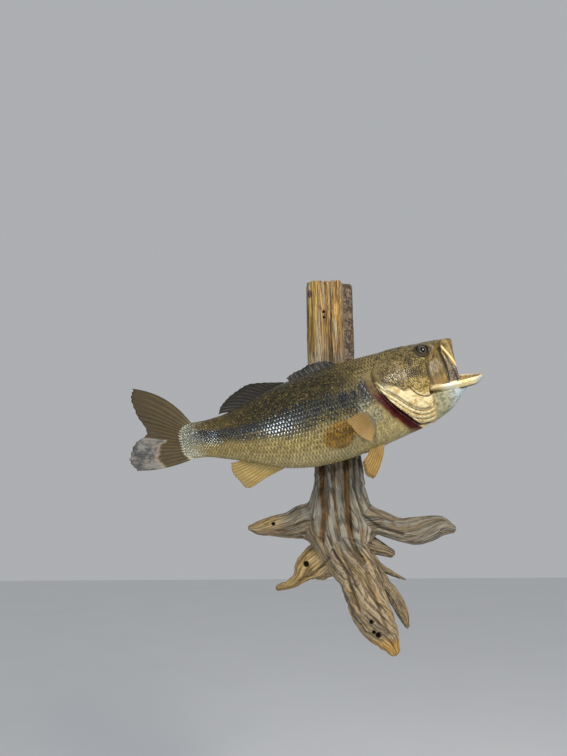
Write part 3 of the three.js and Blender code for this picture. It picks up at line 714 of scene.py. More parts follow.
class Hide:
    """The right side of a swept section as a table: position by a and by the share of the way from the
    back's midline to the belly's."""

    def __init__(self, half, top, bottom, low, inset, settled):
        turn = np.linspace(math.pi / 2, 3 * math.pi / 2, 721)
        c, s = np.cos(turn), np.sin(turn)
        self.place = np.empty((len(TABLE_A), len(TABLE_S), 3))
        for i, a in enumerate(TABLE_A):
            full = np.where(s < 0, low(a), FLANK)
            middle, high = (top(a) + bottom(a)) / 2, (top(a) - bottom(a)) / 2
            y = (half(a) - inset) * np.sign(c) * np.abs(c) ** full
            b = middle + (high - inset) * np.sign(s) * np.abs(s) ** FLANK
            run = np.concatenate([[0], np.cumsum(np.hypot(np.diff(y), np.diff(b)))])
            at = TABLE_S * run[-1]
            self.place[i] = np.stack([np.full(len(at), a), np.interp(at, run, y), np.interp(at, run, b)], -1)
        chosen = settled(self.place[..., 0], self.place[..., 2])
        self.place[chosen] = settle(self.place[chosen])
        normal = np.cross(np.gradient(self.place, axis=1), np.gradient(self.place, axis=0))
        self.normal = normal / (np.linalg.norm(normal, axis=-1, keepdims=True) + 1e-9)
        outwards = (self.normal * (self.place - [0, 0, 5]) * [0, 1, 1]).sum(-1)
        self.normal *= np.where(outwards < 0, -1, 1)[..., None]

    def at(self, a, s, lift):
        """Points of the fish frame, with lift along the normal. Past a midline they go on on the left."""
        over = (s < 0) | (s > 1)
        s = np.where(s < 0, -s, np.where(s > 1, 2 - s, s))
        u, v = (a - TABLE_A[0]) / (TABLE_A[1] - TABLE_A[0]), s * (len(TABLE_S) - 1)
        p = between(self.place, u, v) + between(self.normal, u, v) * lift[..., None]
        p[..., 1] *= np.where(over, -1, 1)
        return p


SCALE_ACROSS, SCALE_ALONG = 6, 4
SCALE_PATCH = 0.003  # side of one scale on the unwrapped sheet


def scale_mesh(name, hide, roots, side, material):
    """One joined mesh of closed scales. roots rows: a, share, length, height as a share, lift, tilt
    and how far it is sunk."""
    q = np.linspace(-1, 1, SCALE_ACROSS + 1)[None, :]
    p = np.linspace(0, 1, SCALE_ALONG + 1)[:, None]
    start, end = 0.1 * q**2, 1 - 0.34 * q**2 - 0.08 * q**4
    along = start + (end - start) * p
    across = q * (0.62 + 0.38 * np.sin(math.pi * np.clip(p * 0.75 + 0.1, 0, 1))) * np.ones_like(p)
    edge = (np.abs(q) > 0.999) | (p < 0.001) | (p > 0.999)
    body = np.where(edge, 0.0, 1.0) * np.ones_like(along)
    shape = along.shape
    a = roots[:, 0, None, None] + roots[:, 2, None, None] * (0.55 - along)
    s = roots[:, 1, None, None] + roots[:, 3, None, None] * across
    rise = roots[:, 4, None, None] * (along - 0.25) * 1.35 + 0.18 * (1 - q**2)
    rise = rise + roots[:, 5, None, None] * across - roots[:, 6, None, None]
    top = hide.at(a, s, rise + 0.24 * body)
    base = hide.at(a, s, rise - 0.1 * body)
    count, cells = len(roots), shape[0] * shape[1]
    points = np.concatenate([top.reshape(count, cells, 3), base.reshape(count, cells, 3)], 1)
    rim = np.nonzero(edge.ravel())[0]
    low = np.arange(cells) + cells
    low[rim] = rim
    keep = np.ones(2 * cells, bool)
    keep[cells + rim] = False
    renumber = np.cumsum(keep) - 1
    quad = grid_quads(*shape)
    faces = renumber[np.concatenate([quad, low[quad][:, ::-1]])]
    if side < 0:
        faces = faces[:, ::-1]
    per = int(keep.sum())
    faces = (faces[None] + per * np.arange(count)[:, None, None]).reshape(-1, 4)
    points = points[:, keep].reshape(-1, 3)
    if side > 0:
        points = points * [1, -1, 1]
    points[:, 1] += sway(points[:, 0])
    two = lambda grid: np.tile(grid.ravel(), 2)[keep]
    local = np.stack([two(along), two(across * 0.5 + 0.5), np.zeros(per)], -1)
    local = np.repeat(local[None], count, 0)
    local[:, :, 2] = np.random.default_rng(count).random(count)[:, None]
    unwrap = np.stack([(roots[:, 0] - TABLE_A[0]) / (TABLE_A[-1] - TABLE_A[0]), roots[:, 1]], -1)
    patch = (local[:, :, :2] - 0.5) * SCALE_PATCH
    uvs = (0.01 + 0.98 * unwrap[:, None] + patch).reshape(-1, 2)
    vectors = {**body_zones(points), "scale": local.reshape(-1, 3)}
    piece = make_mesh(name, to_row(points), [faces], material, vectors=vectors, uvs=uvs)
    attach(piece, "root")


SCALES_END = -237
SCALE_STEP = 4.7  # from one scale to the next in a row, less towards the tail


def trunk_scale_roots():
    """Rows of (a, share, length, half height, lift, tilt, sink), each row half a step on from the last."""
    columns = [108.0]
    while columns[-1] > SCALES_END:
        columns.append(columns[-1] - (SCALE_STEP - 1.0 * smoothstep(-110, -236, columns[-1])))
    columns = np.array(columns)
    rng = np.random.default_rng(5)
    roots = []
    for row in range(ROWS):
        share = (row + 0.5) / ROWS
        a = columns + (SCALE_STEP / 2 if row % 2 else 0)
        b = HIDE.at(a, np.full(len(a), share), np.zeros(len(a)))[:, 2]
        behind = (lookup(HEAD_SIDE, a, b) > 0) & (lookup(GILL_LINE, a, b) > 4 + 14 * smoothstep(32, 10, b))
        kept = (a > SCALES_END) & np.where(b > 45, a < 88 - 0.3 * (b - 45), behind | (a < 30))
        a, b = a[kept], b[kept]
        count = len(a)
        beside = smoothstep(30, 16, lookup(GILL_LINE, a, b)) * smoothstep(48, 40, b)
        flat = (1 - 0.75 * smoothstep(22, 52, a - 0.5 * b) * smoothstep(4, -16, b)) * (1 - 0.7 * beside)
        length = 9.4 - 1.9 * smoothstep(-110, -236, a)
        roots.append(np.stack([
            a + 0.2 * rng.standard_normal(count),
            np.full(count, share) + 0.0012 * rng.standard_normal(count),
            length * (1 + 0.03 * rng.standard_normal(count)),
            np.full(count, 1.02 / ROWS),
            (0.75 + 0.25 * smoothstep(-240, -180, a)) * (1 + 0.06 * rng.standard_normal(count)) * flat,
            0.08 * rng.standard_normal(count) * flat,
            0.75 * smoothstep(24, 13, lookup(GILL_LINE, a, b)) * smoothstep(48, 40, b),
        ], -1))
    return np.concatenate(roots)


HEAD_ROWS = 50


def head_scale_roots():
    """Small scales on the nape, cheek and gill cover."""
    rng = np.random.default_rng(9)
    roots = []
    for row in range(HEAD_ROWS):
        share = (row + 0.5) / HEAD_ROWS
        a = np.arange(60, 131, 3.0) + (1.5 if row % 2 else 0)
        b = HEAD_HIDE.at(a, np.full(len(a), share), np.zeros(len(a)))[:, 2]
        cheek = (lookup(PREOPERCLE, a, b) < -6) & (a < 129) & (b > -2)
        cover = (lookup(OPERCLE, a, b) < -4) & (a > 60)
        nape = (b > 46) & (a < 116 - 0.5 * np.abs(b - 62)) & (a > 80)
        clear = np.hypot(a - EYE[0], b - EYE[2]) > 18
        a = a[(cheek | cover | nape) & clear & (lookup(MEMBRANE, a, b) > 3.5)]
        count = len(a)
        roots.append(np.stack([
            a + 0.3 * rng.standard_normal(count),
            np.full(count, share) + 0.0008 * rng.standard_normal(count),
            5.8 * (1 + 0.05 * rng.standard_normal(count)),
            np.full(count, 1.0 / HEAD_ROWS),
            0.5 + 0.05 * rng.standard_normal(count),
            0.05 * rng.standard_normal(count),
            np.zeros(count),
        ], -1))
    return np.concatenate(roots)


HIDE = Hide(
    body_half_at, back_at, belly_at, lambda a: FLANK, COAT_DEPTH,
    lambda a, b: (a > 44) & (b > 40),
)
HEAD_HIDE = Hide(
    head_half_at, back_at, bottom_at,
    lambda a: FLANK + (THROAT - FLANK) * smoothstep(100, 135, a), 0.5,
    lambda a, b: (a > 54) & (b > -10),
)

# ---------------------------------------------------------------- fins


def plane_fin(root, middle, tip, lean=0.0, **shape):
    """A fin on the fish's middle plane, from rows of (a, b). Its tip leans to the left."""
    rows = {"root": (root, 0), "middle": (middle, 0.6 * lean), "tip": (tip, lean)}
    rows = {key: [(a, sway(a) + tilt * (b - 45), b) for a, b in row] for key, (row, tilt) in rows.items()}
    return {**rows, **shape}


FINS = {
    "caudal_fin": plane_fin(
        root=[(-222, 36), (-226, 27), (-228, 19), (-229, 11), (-228, 3), (-226, -5), (-222, -13)],
        middle=[(-247, 92), (-264, 67), (-262, 46), (-258, 27), (-265, 13), (-271, -3), (-270, -24)],
        tip=[(-300, 111), (-304, 93), (-299, 66), (-290, 38), (-309, 27), (-321, 5), (-313, -13)],
        rays=17, thick=(4.4, 0.9), wave=1.6, notch=0.015, torn=True,
    ),
    "soft_dorsal_fin": plane_fin(
        root=[(-66, 60), (-80, 57), (-94, 54), (-108, 51), (-122, 47), (-136, 43), (-150, 38)],
        middle=[(-74, 66), (-92, 67), (-110, 66), (-126, 64), (-142, 59), (-156, 51), (-165, 42)],
        tip=[(-84, 69), (-106, 74), (-128, 77.5), (-147, 72), (-164, 63), (-176, 52), (-181, 41)],
        lean=0.25, rays=13, thick=(2.6, 0.9), wave=0.9,
    ),
    "spiny_dorsal_fin": plane_fin(
        root=[(22, 65), (7, 65), (-9, 64), (-24, 62), (-38, 61), (-52, 60), (-63, 58)],
        middle=[(17, 70), (2, 75), (-14, 75), (-29, 74), (-43, 71), (-56, 69), (-66, 66)],
        tip=[(9, 73), (-3, 81), (-18, 84), (-33, 83), (-46, 79), (-59, 76), (-69, 70.5)],
        rays=10, thick=(3.0, 1.2), wave=1.0, fork=False, notch=0.06,
    ),
    "anal_fin": plane_fin(
        root=[(-92, -57), (-108, -53), (-124, -47), (-140, -40), (-154, -33)],
        middle=[(-111, -63), (-133, -64), (-148, -57), (-158, -46), (-165, -35)],
        tip=[(-134, -66), (-162, -76), (-172, -63), (-179, -48), (-178, -34)],
        rays=13, thick=(2.6, 0.8), wave=0.9,
    ),
    "pectoral_fin_right": dict(
        root=[(34, -34, -17), (37, -35, -29), (36, -34, -42)],
        middle=[(14, -54, -17), (22, -56, -34), (26, -50, -50)],
        tip=[(-5, -66, -27), (7, -66, -51), (22, -56, -62)],
        facing=(0.5, -1, -0.1), rays=14, thick=(2.2, 0.7), wave=0.8, notch=0.03,
    ),
    "pectoral_fin_left": dict(
        root=[(34, 34, -17), (37, 35, -29), (36, 34, -42)],
        middle=[(14, 43, -17), (21, 42.6, -33), (26, 41.5, -48)],
        tip=[(-9, 43, -26), (3, 42.8, -48), (20, 41, -60)],
        facing=(0, 1, 0), rays=14, thick=(1.6, 0.6), wave=0.2, notch=0.03,
    ),
    "pelvic_fin_right": dict(
        root=[(46, -8, -58), (36, -10, -60), (27, -10, -60)],
        middle=[(37, -14, -86), (26, -15, -82), (17, -14, -73)],
        tip=[(17, -18, -106), (9, -19, -98), (9, -17, -78)],
        facing=(0.1, -1, 0.25), rays=7, thick=(2.4, 0.7), wave=0.8,
    ),
    "pelvic_fin_left": dict(
        root=[(46, 8, -58), (36, 10, -60), (27, 10, -60)],
        middle=[(37, 14, -86), (26, 15, -82), (17, 14, -73)],
        tip=[(17, 18, -106), (9, 19, -98), (9, 17, -78)],
        facing=(0.1, 1, 0.25), rays=7, thick=(2.4, 0.7), wave=0.8,
    ),
}
PER_RAY, RAY_STEPS = 7, 34


def fin_mesh(node, material, root, middle, tip, rays, thick, wave, facing=(0, -1, 0), fork=True, notch=0.02,
             torn=False):
    """A rayed fin: its rays stand out from both faces, fork towards the tip, and end in a ragged margin."""
    u = np.linspace(0, 1, rays * PER_RAY + 1)
    v = np.linspace(0, 1, RAY_STEPS + 1)
    R, M, T = (spline(row, u)[:, None] for row in (root, middle, tip))
    phase = (u * rays)[:, None] * np.ones(len(v))
    seed = rays * 7.3 + facing[0] * 3
    off = np.abs(phase - np.round(phase))
    split = 0.21 * smoothstep(0.35, 1.0, v) * fork
    ridge = np.exp(-(((off - split) / (0.16 if fork else 0.12)) ** 2))
    ragged = 0.5 * notch * (noise(phase * 1.7, seed, 0, 1) + 1) + notch * (1 - np.exp(-((off / 0.3) ** 2)))
    reach = v * (1 - ragged * smoothstep(0.55, 1.0, v))
    t = reach[..., None]
    p = (1 - t) ** 2 * R + 2 * (1 - t) * t * M + t * t * T
    normal = np.cross(np.gradient(p, axis=0), np.gradient(p, axis=1))
    normal /= np.linalg.norm(normal, axis=-1, keepdims=True) + 1e-9
    normal *= np.where((normal * facing).sum(-1, keepdims=True) < 0, -1, 1)
    sway_out = wave * smoothstep(0.15, 1, v) * noise(phase / 2.3, v * 1.6 + seed, seed, 1)
    sway_out = sway_out + 0.22 * wave * np.cos(2 * math.pi * phase) * smoothstep(0.1, 0.6, v)
    p = p + normal * sway_out[..., None]
    half = (thick[0] + (thick[1] - thick[0]) * v**0.6) / 2
    beads = 1 - 0.16 * fork * (np.sin(v * 95 + phase) > 0.55) * smoothstep(0.3, 0.5, v)
    half = half * (0.42 + 0.58 * ridge * beads)
    front, back = p + normal * half[..., None], p - normal * half[..., None]
    rows, cols = phase.shape
    face = grid_quads(rows, cols)[:, [0, 3, 2, 1]]
    other = rows * cols
    loop = np.concatenate([
        np.arange(cols), (np.arange(1, rows)) * cols + cols - 1,
        (rows - 1) * cols + np.arange(cols - 2, -1, -1), np.arange(rows - 2, 0, -1) * cols,
    ])
    ahead = np.roll(loop, -1)
    wall = np.stack([loop, ahead, ahead + other, loop + other], -1)
    points = np.concatenate([front.reshape(-1, 3), back.reshape(-1, 3)])
    flat = np.stack([phase, np.ones_like(phase) * v, ridge], -1).reshape(-1, 3)
    wear = np.stack(caudal_wear(u[:, None] + 0 * v, v + 0 * phase, torn), -1).reshape(-1, 3)
    vectors = {"fin": np.concatenate([flat, flat]), "mark": points, "wear": np.concatenate([wear, wear])}
    faces = [face, face[:, ::-1] + other, wall]
    piece = make_mesh(node + "_rays", to_row(points), faces, material, vectors=vectors)
    outward(piece)
    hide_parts(node)
    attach(piece, "root")
    return piece


def caudal_wear(u, v, torn):
    """The tail fin's mended grey lobe, its pale torn rim and the torn strip at the root."""
    if not torn:
        return 0 * u, 0 * u, 0 * u
    ragged = 0.035 * noise(u * 26, v * 5, 3, 1) + 0.02 * noise(u * 60, v * 9, 8, 1)
    border = v - (0.50 + 0.10 * np.cos(6 * (u - 0.78))) + ragged
    low = smoothstep(0.555, 0.585, u + 0.3 * ragged)
    mended = smoothstep(-0.012, 0.012, border) * low
    rim = np.exp(-((border / 0.022) ** 2)) * low
    strip = smoothstep(0.15, 0.12, v + 2.0 * ragged) * smoothstep(0.40, 0.50, u)
    strip = strip * smoothstep(0.045, 0.07, v + 1.4 * ragged)
    return mended, rim, strip


def outward(piece):
    """Turns a closed mesh's faces outwards."""
    mesh = bmesh.new()
    mesh.from_mesh(piece.data)
    bmesh.ops.recalc_face_normals(mesh, faces=mesh.faces)
    mesh.to_mesh(piece.data)
    mesh.free()


# ---------------------------------------------------------------- eyes


def eye_mesh(node, side, material):
    """A glass eye that looks outwards, with a little more bulge over its pupil."""
    rings, sides = 40, 64
    turn = np.linspace(0, math.pi, rings + 1)[1:-1]
    around = np.linspace(0, 2 * math.pi, sides, endpoint=False)
    t, w = np.meshgrid(turn, around, indexing="ij")
    radius = EYE_RADIUS * (1 + 0.025 * np.exp(-((t / 0.5) ** 2)))
    ball = np.stack([np.sin(t) * np.cos(w), np.cos(t), np.sin(t) * np.sin(w)], -1) * radius[..., None]
    points = np.concatenate([[[0, EYE_RADIUS * 1.025, 0]], ball.reshape(-1, 3), [[0, -EYE_RADIUS, 0]]])
    look = np.concatenate([[0], t.ravel(), [math.pi]])
    swing = np.concatenate([[0], w.ravel(), [0]])
    points[:, 1] *= side
    count = len(points)
    ring = 1 + np.arange(sides)
    quads = []
    for k in range(rings - 2):
        a, b = ring + k * sides, np.roll(ring, -1) + k * sides
        quads.append(np.stack([a, b, b + sides, a + sides], -1))
    caps = [np.stack([np.zeros(sides, int), np.roll(ring, -1), ring], -1)]
    last = ring + (rings - 2) * sides
    caps.append(np.stack([np.full(sides, count - 1), last, np.roll(last, -1)], -1))
    gaze = Matrix.Rotation(-0.12 * side, 3, "Z") @ Matrix.Rotation(0.06 * side, 3, "X")
    points = points @ np.array(gaze).T + [EYE[0], sway(EYE[0]) + side * EYE[1], EYE[2]]
    vectors = {"eye": np.stack([look, np.cos(swing), np.sin(swing)], -1)}
    faces = [np.concatenate(quads), np.concatenate(caps)]
    piece = make_mesh(node + "_glass", to_row(points), faces, material, vectors=vectors)
    outward(piece)
    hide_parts(node)
    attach(piece, "root")
    return piece


# ---------------------------------------------------------------- driftwood

POST_TOP, POST_FOOT = 94, -215
POST_SECTION = [
    (-48.5, 3), (-51.5, -8), (-52.5, -34), (-50, -55), (-44.5, -59.5), (-33, -61), (-27.5, -59.5),
    (-22, -60.5), (-16, -56.5), (-10, -59.2), (-2, -58.8), (6, -56), (8.5, -45), (12, -41.5), (22, -40),
    (26.5, -34), (26.5, -6), (23.5, 3),
]
LIMBS = {  # stations of (x, y, z, half width, half depth), and how far it blends into the rest
    "driftwood_stump": ([
        (-7, -29, -205, 36, 32), (-7, -29, -215, 38, 33), (-8, -29, -250, 42, 33), (-9, -30, -283, 52, 33),
        (-9, -31, -312, 56, 33), (-8, -33, -342, 40, 33), (-4, -36, -362, 26, 27)], 9),
    "root_left": ([
        (-40, -27, -300, 29, 25), (-62, -27, -298, 28, 21), (-88, -28, -303, 21, 15),
        (-112, -30, -304, 17, 12), (-136, -31, -307, 12, 8), (-148, -32, -307, 6, 5)], 9),
    "root_right": ([
        (28, -30, -297, 26, 25), (50, -31, -301, 20, 20), (76, -33, -311, 18, 16), (102, -35, -314, 22, 15),
        (124, -35, -311, 20, 13), (143, -33, -308, 17, 10), (160, -31, -312, 8, 6)], 8),
    "root_centre": ([
        (-2, -42, -342, 32, 30), (14, -43, -372, 34, 29), (23, -44, -400, 31, 28), (31, -45, -425, 30, 26),
        (41, -45, -445, 27, 22), (51, -44, -461, 20, 17), (59, -42, -475, 11, 11)], 7),
    "root_lower_left": ([
        (-28, -26, -352, 26, 20), (-46, -25, -359, 28, 19), (-61, -24, -367, 23, 16),
        (-74, -24, -381, 12, 12), (-88, -25, -390, 8, 9), (-105, -26, -394, 6, 7)], 6),
    "root_lower_right": ([
        (40, -32, -366, 11, 15), (54, -31, -388, 10, 13), (67, -30, -408, 11, 13),
        (77, -29, -427, 10, 12), (83, -28, -447, 5, 6)], 4),
    "root_twig": ([
        (34, -22, -352, 10, 8), (48, -21, -366, 7, 7), (66, -20, -376, 5, 5), (86, -20, -385, 2.5, 3)], 4),
    "root_stub": ([(30, -20, -330, 16, 14), (48, -19, -338, 13, 12), (66, -18, -346, 9, 9)], 4),
}
CHANNELS = [  # weathered grooves in the front: (x, z) line, depth, half width
    ([(-36, -190), (-34, -240), (-33, -290), (-36, -325)], 5.5, 4.2),
    ([(2, -190), (3, -240), (3, -290), (6, -320), (13, -340), (22, -356)], 6.5, 3.8),
    ([(-21, 94), (-20, 60), (-18, 20), (-17, -60)], 2.8, 1.7),
    ([(-11, 94), (-13, 40), (-14, 0), (-12, -70)], 2.6, 1.5),
    ([(-44, 94), (-42, 40), (-43, -50)], 1.8, 1.5),
    ([(-33, 94), (-34, 50), (-31, -40)], 1.4, 1.3),
    ([(-2, 94), (-3, 30), (0, -60)], 1.6, 1.4),
    ([(-16, -215), (-17, -260), (-14, -310), (-6, -350), (10, -390)], 2.4, 2.6),
    ([(14, -200), (15, -250), (24, -290), (50, -308), (84, -318)], 3.5, 2.6),
    ([(22, -205), (26, -255), (38, -283), (70, -300)], 2.5, 2.2),
    ([(-20, -340), (-2, -372), (6, -400), (12, -420)], 3.5, 3.0),
    ([(24, -372), (34, -400), (44, -432), (52, -452)], 3.0, 2.6),
    ([(-26, -350), (-48, -372), (-72, -384)], 2.6, 2.4),
    ([(-50, -296), (-80, -304), (-104, -312)], 2.2, 2.0),
]
NAIL_BACK = -30  # the nail holes are in the front only
HOLES = [  # nail holes: x, z, radius
    (-111, -301, 2.4), (-62, -360, 4.0), (29, -436, 2.6), (38, -454, 3.6), (32, -450, 2.4), (-23, 36, 2.0),
    (-23, 26, 1.8),
]
HANGER = (-30, -146, 15)  # the block behind the fish: x, z, radius
GRAIN_RADIUS = 14  # of the round section that a limb's grain is drawn on


class Limb:
    """A root or stump: a bent tube whose section changes from station to station."""

    def __init__(self, stations, blend, seed):
        stations = np.array(stations, float)
        ts = np.linspace(0, 1, 3 * (len(stations) - 1) + 1)
        self.path = spline(stations[:, :3], ts)
        self.size = spline(stations[:, 3:], ts)
        self.run = np.concatenate([[0], np.cumsum(np.linalg.norm(np.diff(self.path, axis=0), axis=1))])
        self.blend, self.seed = blend, seed
        reach = self.size.max() + 14
        self.low, self.high = self.path.min(0) - reach, self.path.max(0) + reach

    def local(self, p):
        """(distance to the smooth limb, way along it, angle round it) at points."""
        best = np.full(len(p), np.inf)
        spot, share = np.zeros(len(p), int), np.zeros(len(p))
        for k in range(len(self.path) - 1):
            step = self.path[k + 1] - self.path[k]
            t = np.clip(((p - self.path[k]) @ step) / (step @ step), 0, 1)
            gap = ((p - self.path[k] - t[:, None] * step) ** 2).sum(1)
            nearer = gap < best
            best[nearer], spot[nearer], share[nearer] = gap[nearer], k, t[nearer]
        mix = lambda table: table[spot] * (1 - share)[:, None] + table[spot + 1] * share[:, None]
        ahead = np.diff(self.path, axis=0)
        ahead = (ahead / np.linalg.norm(ahead, axis=1, keepdims=True))[spot]
        offset, size = p - mix(self.path), mix(self.size)
        across = np.cross([0, 1, 0], ahead)
        across /= np.linalg.norm(across, axis=1, keepdims=True)
        out = np.cross(ahead, across)
        u, v, w = (offset * across).sum(1), (offset * out).sum(1), (offset * ahead).sum(1)
        u, v, w = u / size[:, 0], v / size[:, 1], w / size.min(1)
        r = np.sqrt(u * u + v * v + w * w) + 1e-6
        along = np.interp(spot + share, np.arange(len(self.run)), self.run)
        return (r - 1) * np.linalg.norm(offset, axis=1) / r, along, np.arctan2(v, u)


def twist(along, turn, seed):
    """Fibres wind a little round a root, and run almost straight down the stump."""
    free = 0.25 if seed == 1 else 1.0
    return turn + free * (0.010 * along + 0.3 * noise(along, seed, 0, 34))


def grain(along, turn, seed):
    """How far weathered wood is worn away, in grooves that run along it and wander round it."""
    turn = twist(along, turn, seed)
    x, y = GRAIN_RADIUS * np.cos(turn) + seed * 31, GRAIN_RADIUS * np.sin(turn)
    burl = 7.0 if seed in (4, 5) else 1.6
    x = x + burl * noise(x, along, y, 15)
    y = y + burl * noise(x + 70, along, y, 15)
    broad = noise(x, y, along, (9, 9, 40))
    ribs = np.abs(noise(x, y + 9, along, (4.6, 4.6, 46)))
    ribs_fine = np.abs(noise(x, y + 40, along, (2.4, 2.4, 26)))
    lumps = noise(x + 20, y, along, 7) * (burl > 2)
    cracks = 1.5 * smoothstep(0.24, 0.0, ribs) + 0.9 * smoothstep(0.3, 0.0, ribs_fine)
    return 1.2 + 1.2 * broad + 1.3 * lumps + cracks * (1 - 0.45 * (burl > 2))


def post_distance(x, y, z):
    """The post: its section drawn upwards, with worn fibres and a broken top."""
    x = x - 1.05 * np.sin(z / 90)
    section = ring_gap(x, y, POST_SECTION)
    streak = noise(x, y, z, (4.5, 4.5, 110))
    ribs = np.abs(noise(x + 50, y, z, (3.2, 6, 90)))
    worn = 0.5 + 0.9 * streak + 1.5 * smoothstep(0.22, 0, ribs) + 0.4 * noise(x, y, z, (2, 2, 26))
    crown = POST_TOP - 1.4 - 1.0 * noise(x, y, z, (3, 3, 400))
    worn = worn * 0.8 + 10 * smoothstep(-180, -224, z)
    return np.maximum(smooth_max(section + worn, z - crown, 1.5), POST_FOOT - 12 - z)


def channel_depth(x, y, z):
    """How deep the weathered grooves of the front are."""
    front = smoothstep(-16, -34, y)
    depth = np.zeros(x.shape)
    for line, deep, wide in CHANNELS:
        wander = 1.5 * noise(z, x * 0, wide + x * 0, 26)
        depth = np.maximum(depth, deep * np.exp(-((line_gap(x + wander, z, line) / wide) ** 2)))
    return depth * front


LIMB_SHAPES = [Limb(stations, blend, 1 + k) for k, (stations, blend) in enumerate(LIMBS.values())]


def limbs_near(p):
    """For each limb near some of the points: it, their indices, distance, way along, angle and wear."""
    for limb in LIMB_SHAPES:
        near = np.nonzero(((p > limb.low) & (p < limb.high)).all(1))[0]
        if len(near):
            gap, along, turn = limb.local(p[near])
            yield limb, near, gap, along, turn, grain(along, turn, limb.seed)


def wood_distance(x, y, z):
    """Post, roots and hanger block as one form, with its grooves and nail holes."""
    shape = x.shape
    x, y, z = x.ravel(), y.ravel(), z.ravel()
    p = np.stack([x, y, z], -1)
    d = post_distance(x, y, z)
    for limb, near, gap, _, _, worn in limbs_near(p):
        d[near] = smooth_min(d[near], gap + worn, limb.blend)
    d = d + channel_depth(x, y, z)
    for hx, hz, radius in HOLES:
        ragged = radius * (1 + 0.25 * noise(x, y, z, 2.5))
        hole = np.minimum(ragged - np.hypot(x - hx, z - hz), d + 7)
        d = np.maximum(d, np.minimum(hole, NAIL_BACK - y))
    bx, bz, radius = HANGER
    block = np.hypot(x - bx, z - bz) - radius + 1.0 + 0.6 * noise(x, y, z, (4, 30, 4))
    block = smooth_max(block, -78 - y, 2)
    d = smooth_min(d, np.maximum(block, y + 50), 2)
    return np.maximum(d, y).reshape(shape)


def wood_layers(p):
    """grain (round, out, along) for the material's streaks, and tone (warm, hollow: painted shade in grooves
    and holes, root).
    """
    x, y, z = p.T
    nearest = post_distance(x, y, z) + 2.0
    layer = np.stack([x, y, z], -1)
    depth = np.full(len(p), 1.5)
    for limb, near, gap, along, turn, worn in limbs_near(p):
        closer = gap + 1.6 < nearest[near]
        chosen = near[closer]
        nearest[chosen], depth[chosen] = gap[closer] + 1.6, worn[closer]
        turn = twist(along[closer], turn[closer], limb.seed)
        layer[chosen] = np.stack([
            GRAIN_RADIUS * np.cos(turn) + 60 * limb.seed, GRAIN_RADIUS * np.sin(turn),
            along[closer] + 200 * limb.seed], -1)
    channel = channel_depth(x, y, z)
    warm = smoothstep(-100, 20, z) * smoothstep(12, 4, x) * smoothstep(-20, -40, y)
    orange = smoothstep(1.0, 3.6, channel) * smoothstep(-180, -215, z) * smoothstep(-350, -300, z) * (x < 12)
    warm = np.maximum(warm, orange)
    warm = np.maximum(warm, 0.8 * smoothstep(-452, -470, z))
    # painted shade: darker in the channels, the deep grain grooves and the nail holes
    hollow = smoothstep(0.8, 3.0, channel) * (1 - 0.75 * orange)
    hollow = np.maximum(smoothstep(2.6, 5.2, depth), hollow) * 0.6
    for hx, hz, radius in HOLES:
        nail = smoothstep(radius + 1.2, radius - 0.3, np.hypot(x - hx, z - hz))
        hollow = np.maximum(hollow, nail * (y < NAIL_BACK))
    root = np.maximum(smoothstep(-300, -370, z), smoothstep(-84, -120, x) * smoothstep(-330, -296, z))
    root = np.maximum(root, smoothstep(-24, -44, x) * smoothstep(-330, -345, z))
    return {"grain": layer, **as_layers(tone=[warm, hollow, root], place=[x, y, z])}


WOOD_STEP = 1.3


def wood_skin():
    """Vertices and quads of the driftwood, with its back just clear of the wall."""
    axes = [np.arange(-156, 170, WOOD_STEP), np.arange(-83, 2.5, WOOD_STEP), np.arange(-486, 98, WOOD_STEP)]
    vertices, quads = skin_of(wood_distance, axes)
    vertices[:, 1] = np.minimum(vertices[:, 1], -0.02)
    return vertices, quads


# ---------------------------------------------------------------- materials


def srgb(red, green, blue):
    """A colour given as it looks on a screen, 0 to 255."""
    linear = [((v / 255 + 0.055) / 1.055) ** 2.4 if v > 10 else v / 255 / 12.92 for v in (red, green, blue)]
    return (*linear, 1)


class Value:
    """One output of a node, with the sums that can be done on it."""

    def __init__(self, paint, socket):
        self.paint, self.socket = paint, socket

    def math(self, operation, *others):
        return self.paint.value("Math", dict(enumerate((self, *others))), operation=operation)

    def __add__(self, other):
        return self.math("ADD", other)

    def __sub__(self, other):
        return self.math("SUBTRACT", other)

    def __rsub__(self, other):
        return self.paint.value("Math", {0: other, 1: self}, operation="SUBTRACT")

    def __mul__(self, other):
        return self.math("MULTIPLY", other)

    def __pow__(self, other):
        return self.math("POWER", other)

    def __abs__(self):
        return self.math("ABSOLUTE")

    def ramp(self, low, high, start=0.0, end=1.0):
        """A smooth step of the value from low to high, giving start to end."""
        inputs = {"Value": self, "From Min": low, "From Max": high, "To Min": start, "To Max": end}
        return self.paint.value("MapRange", inputs, "Result", interpolation_type="SMOOTHSTEP")

    def mix(self, first, second):
        """The first colour where the value is 0, the second where it is 1."""
        return self.paint.mix(self, first, second)

    def blend(self, low, high, first, second, most=1.0):
        """The first colour up to low, and a share of the second, most, from high on."""
        return self.ramp(low, high, 0.0, most).mix(first, second)


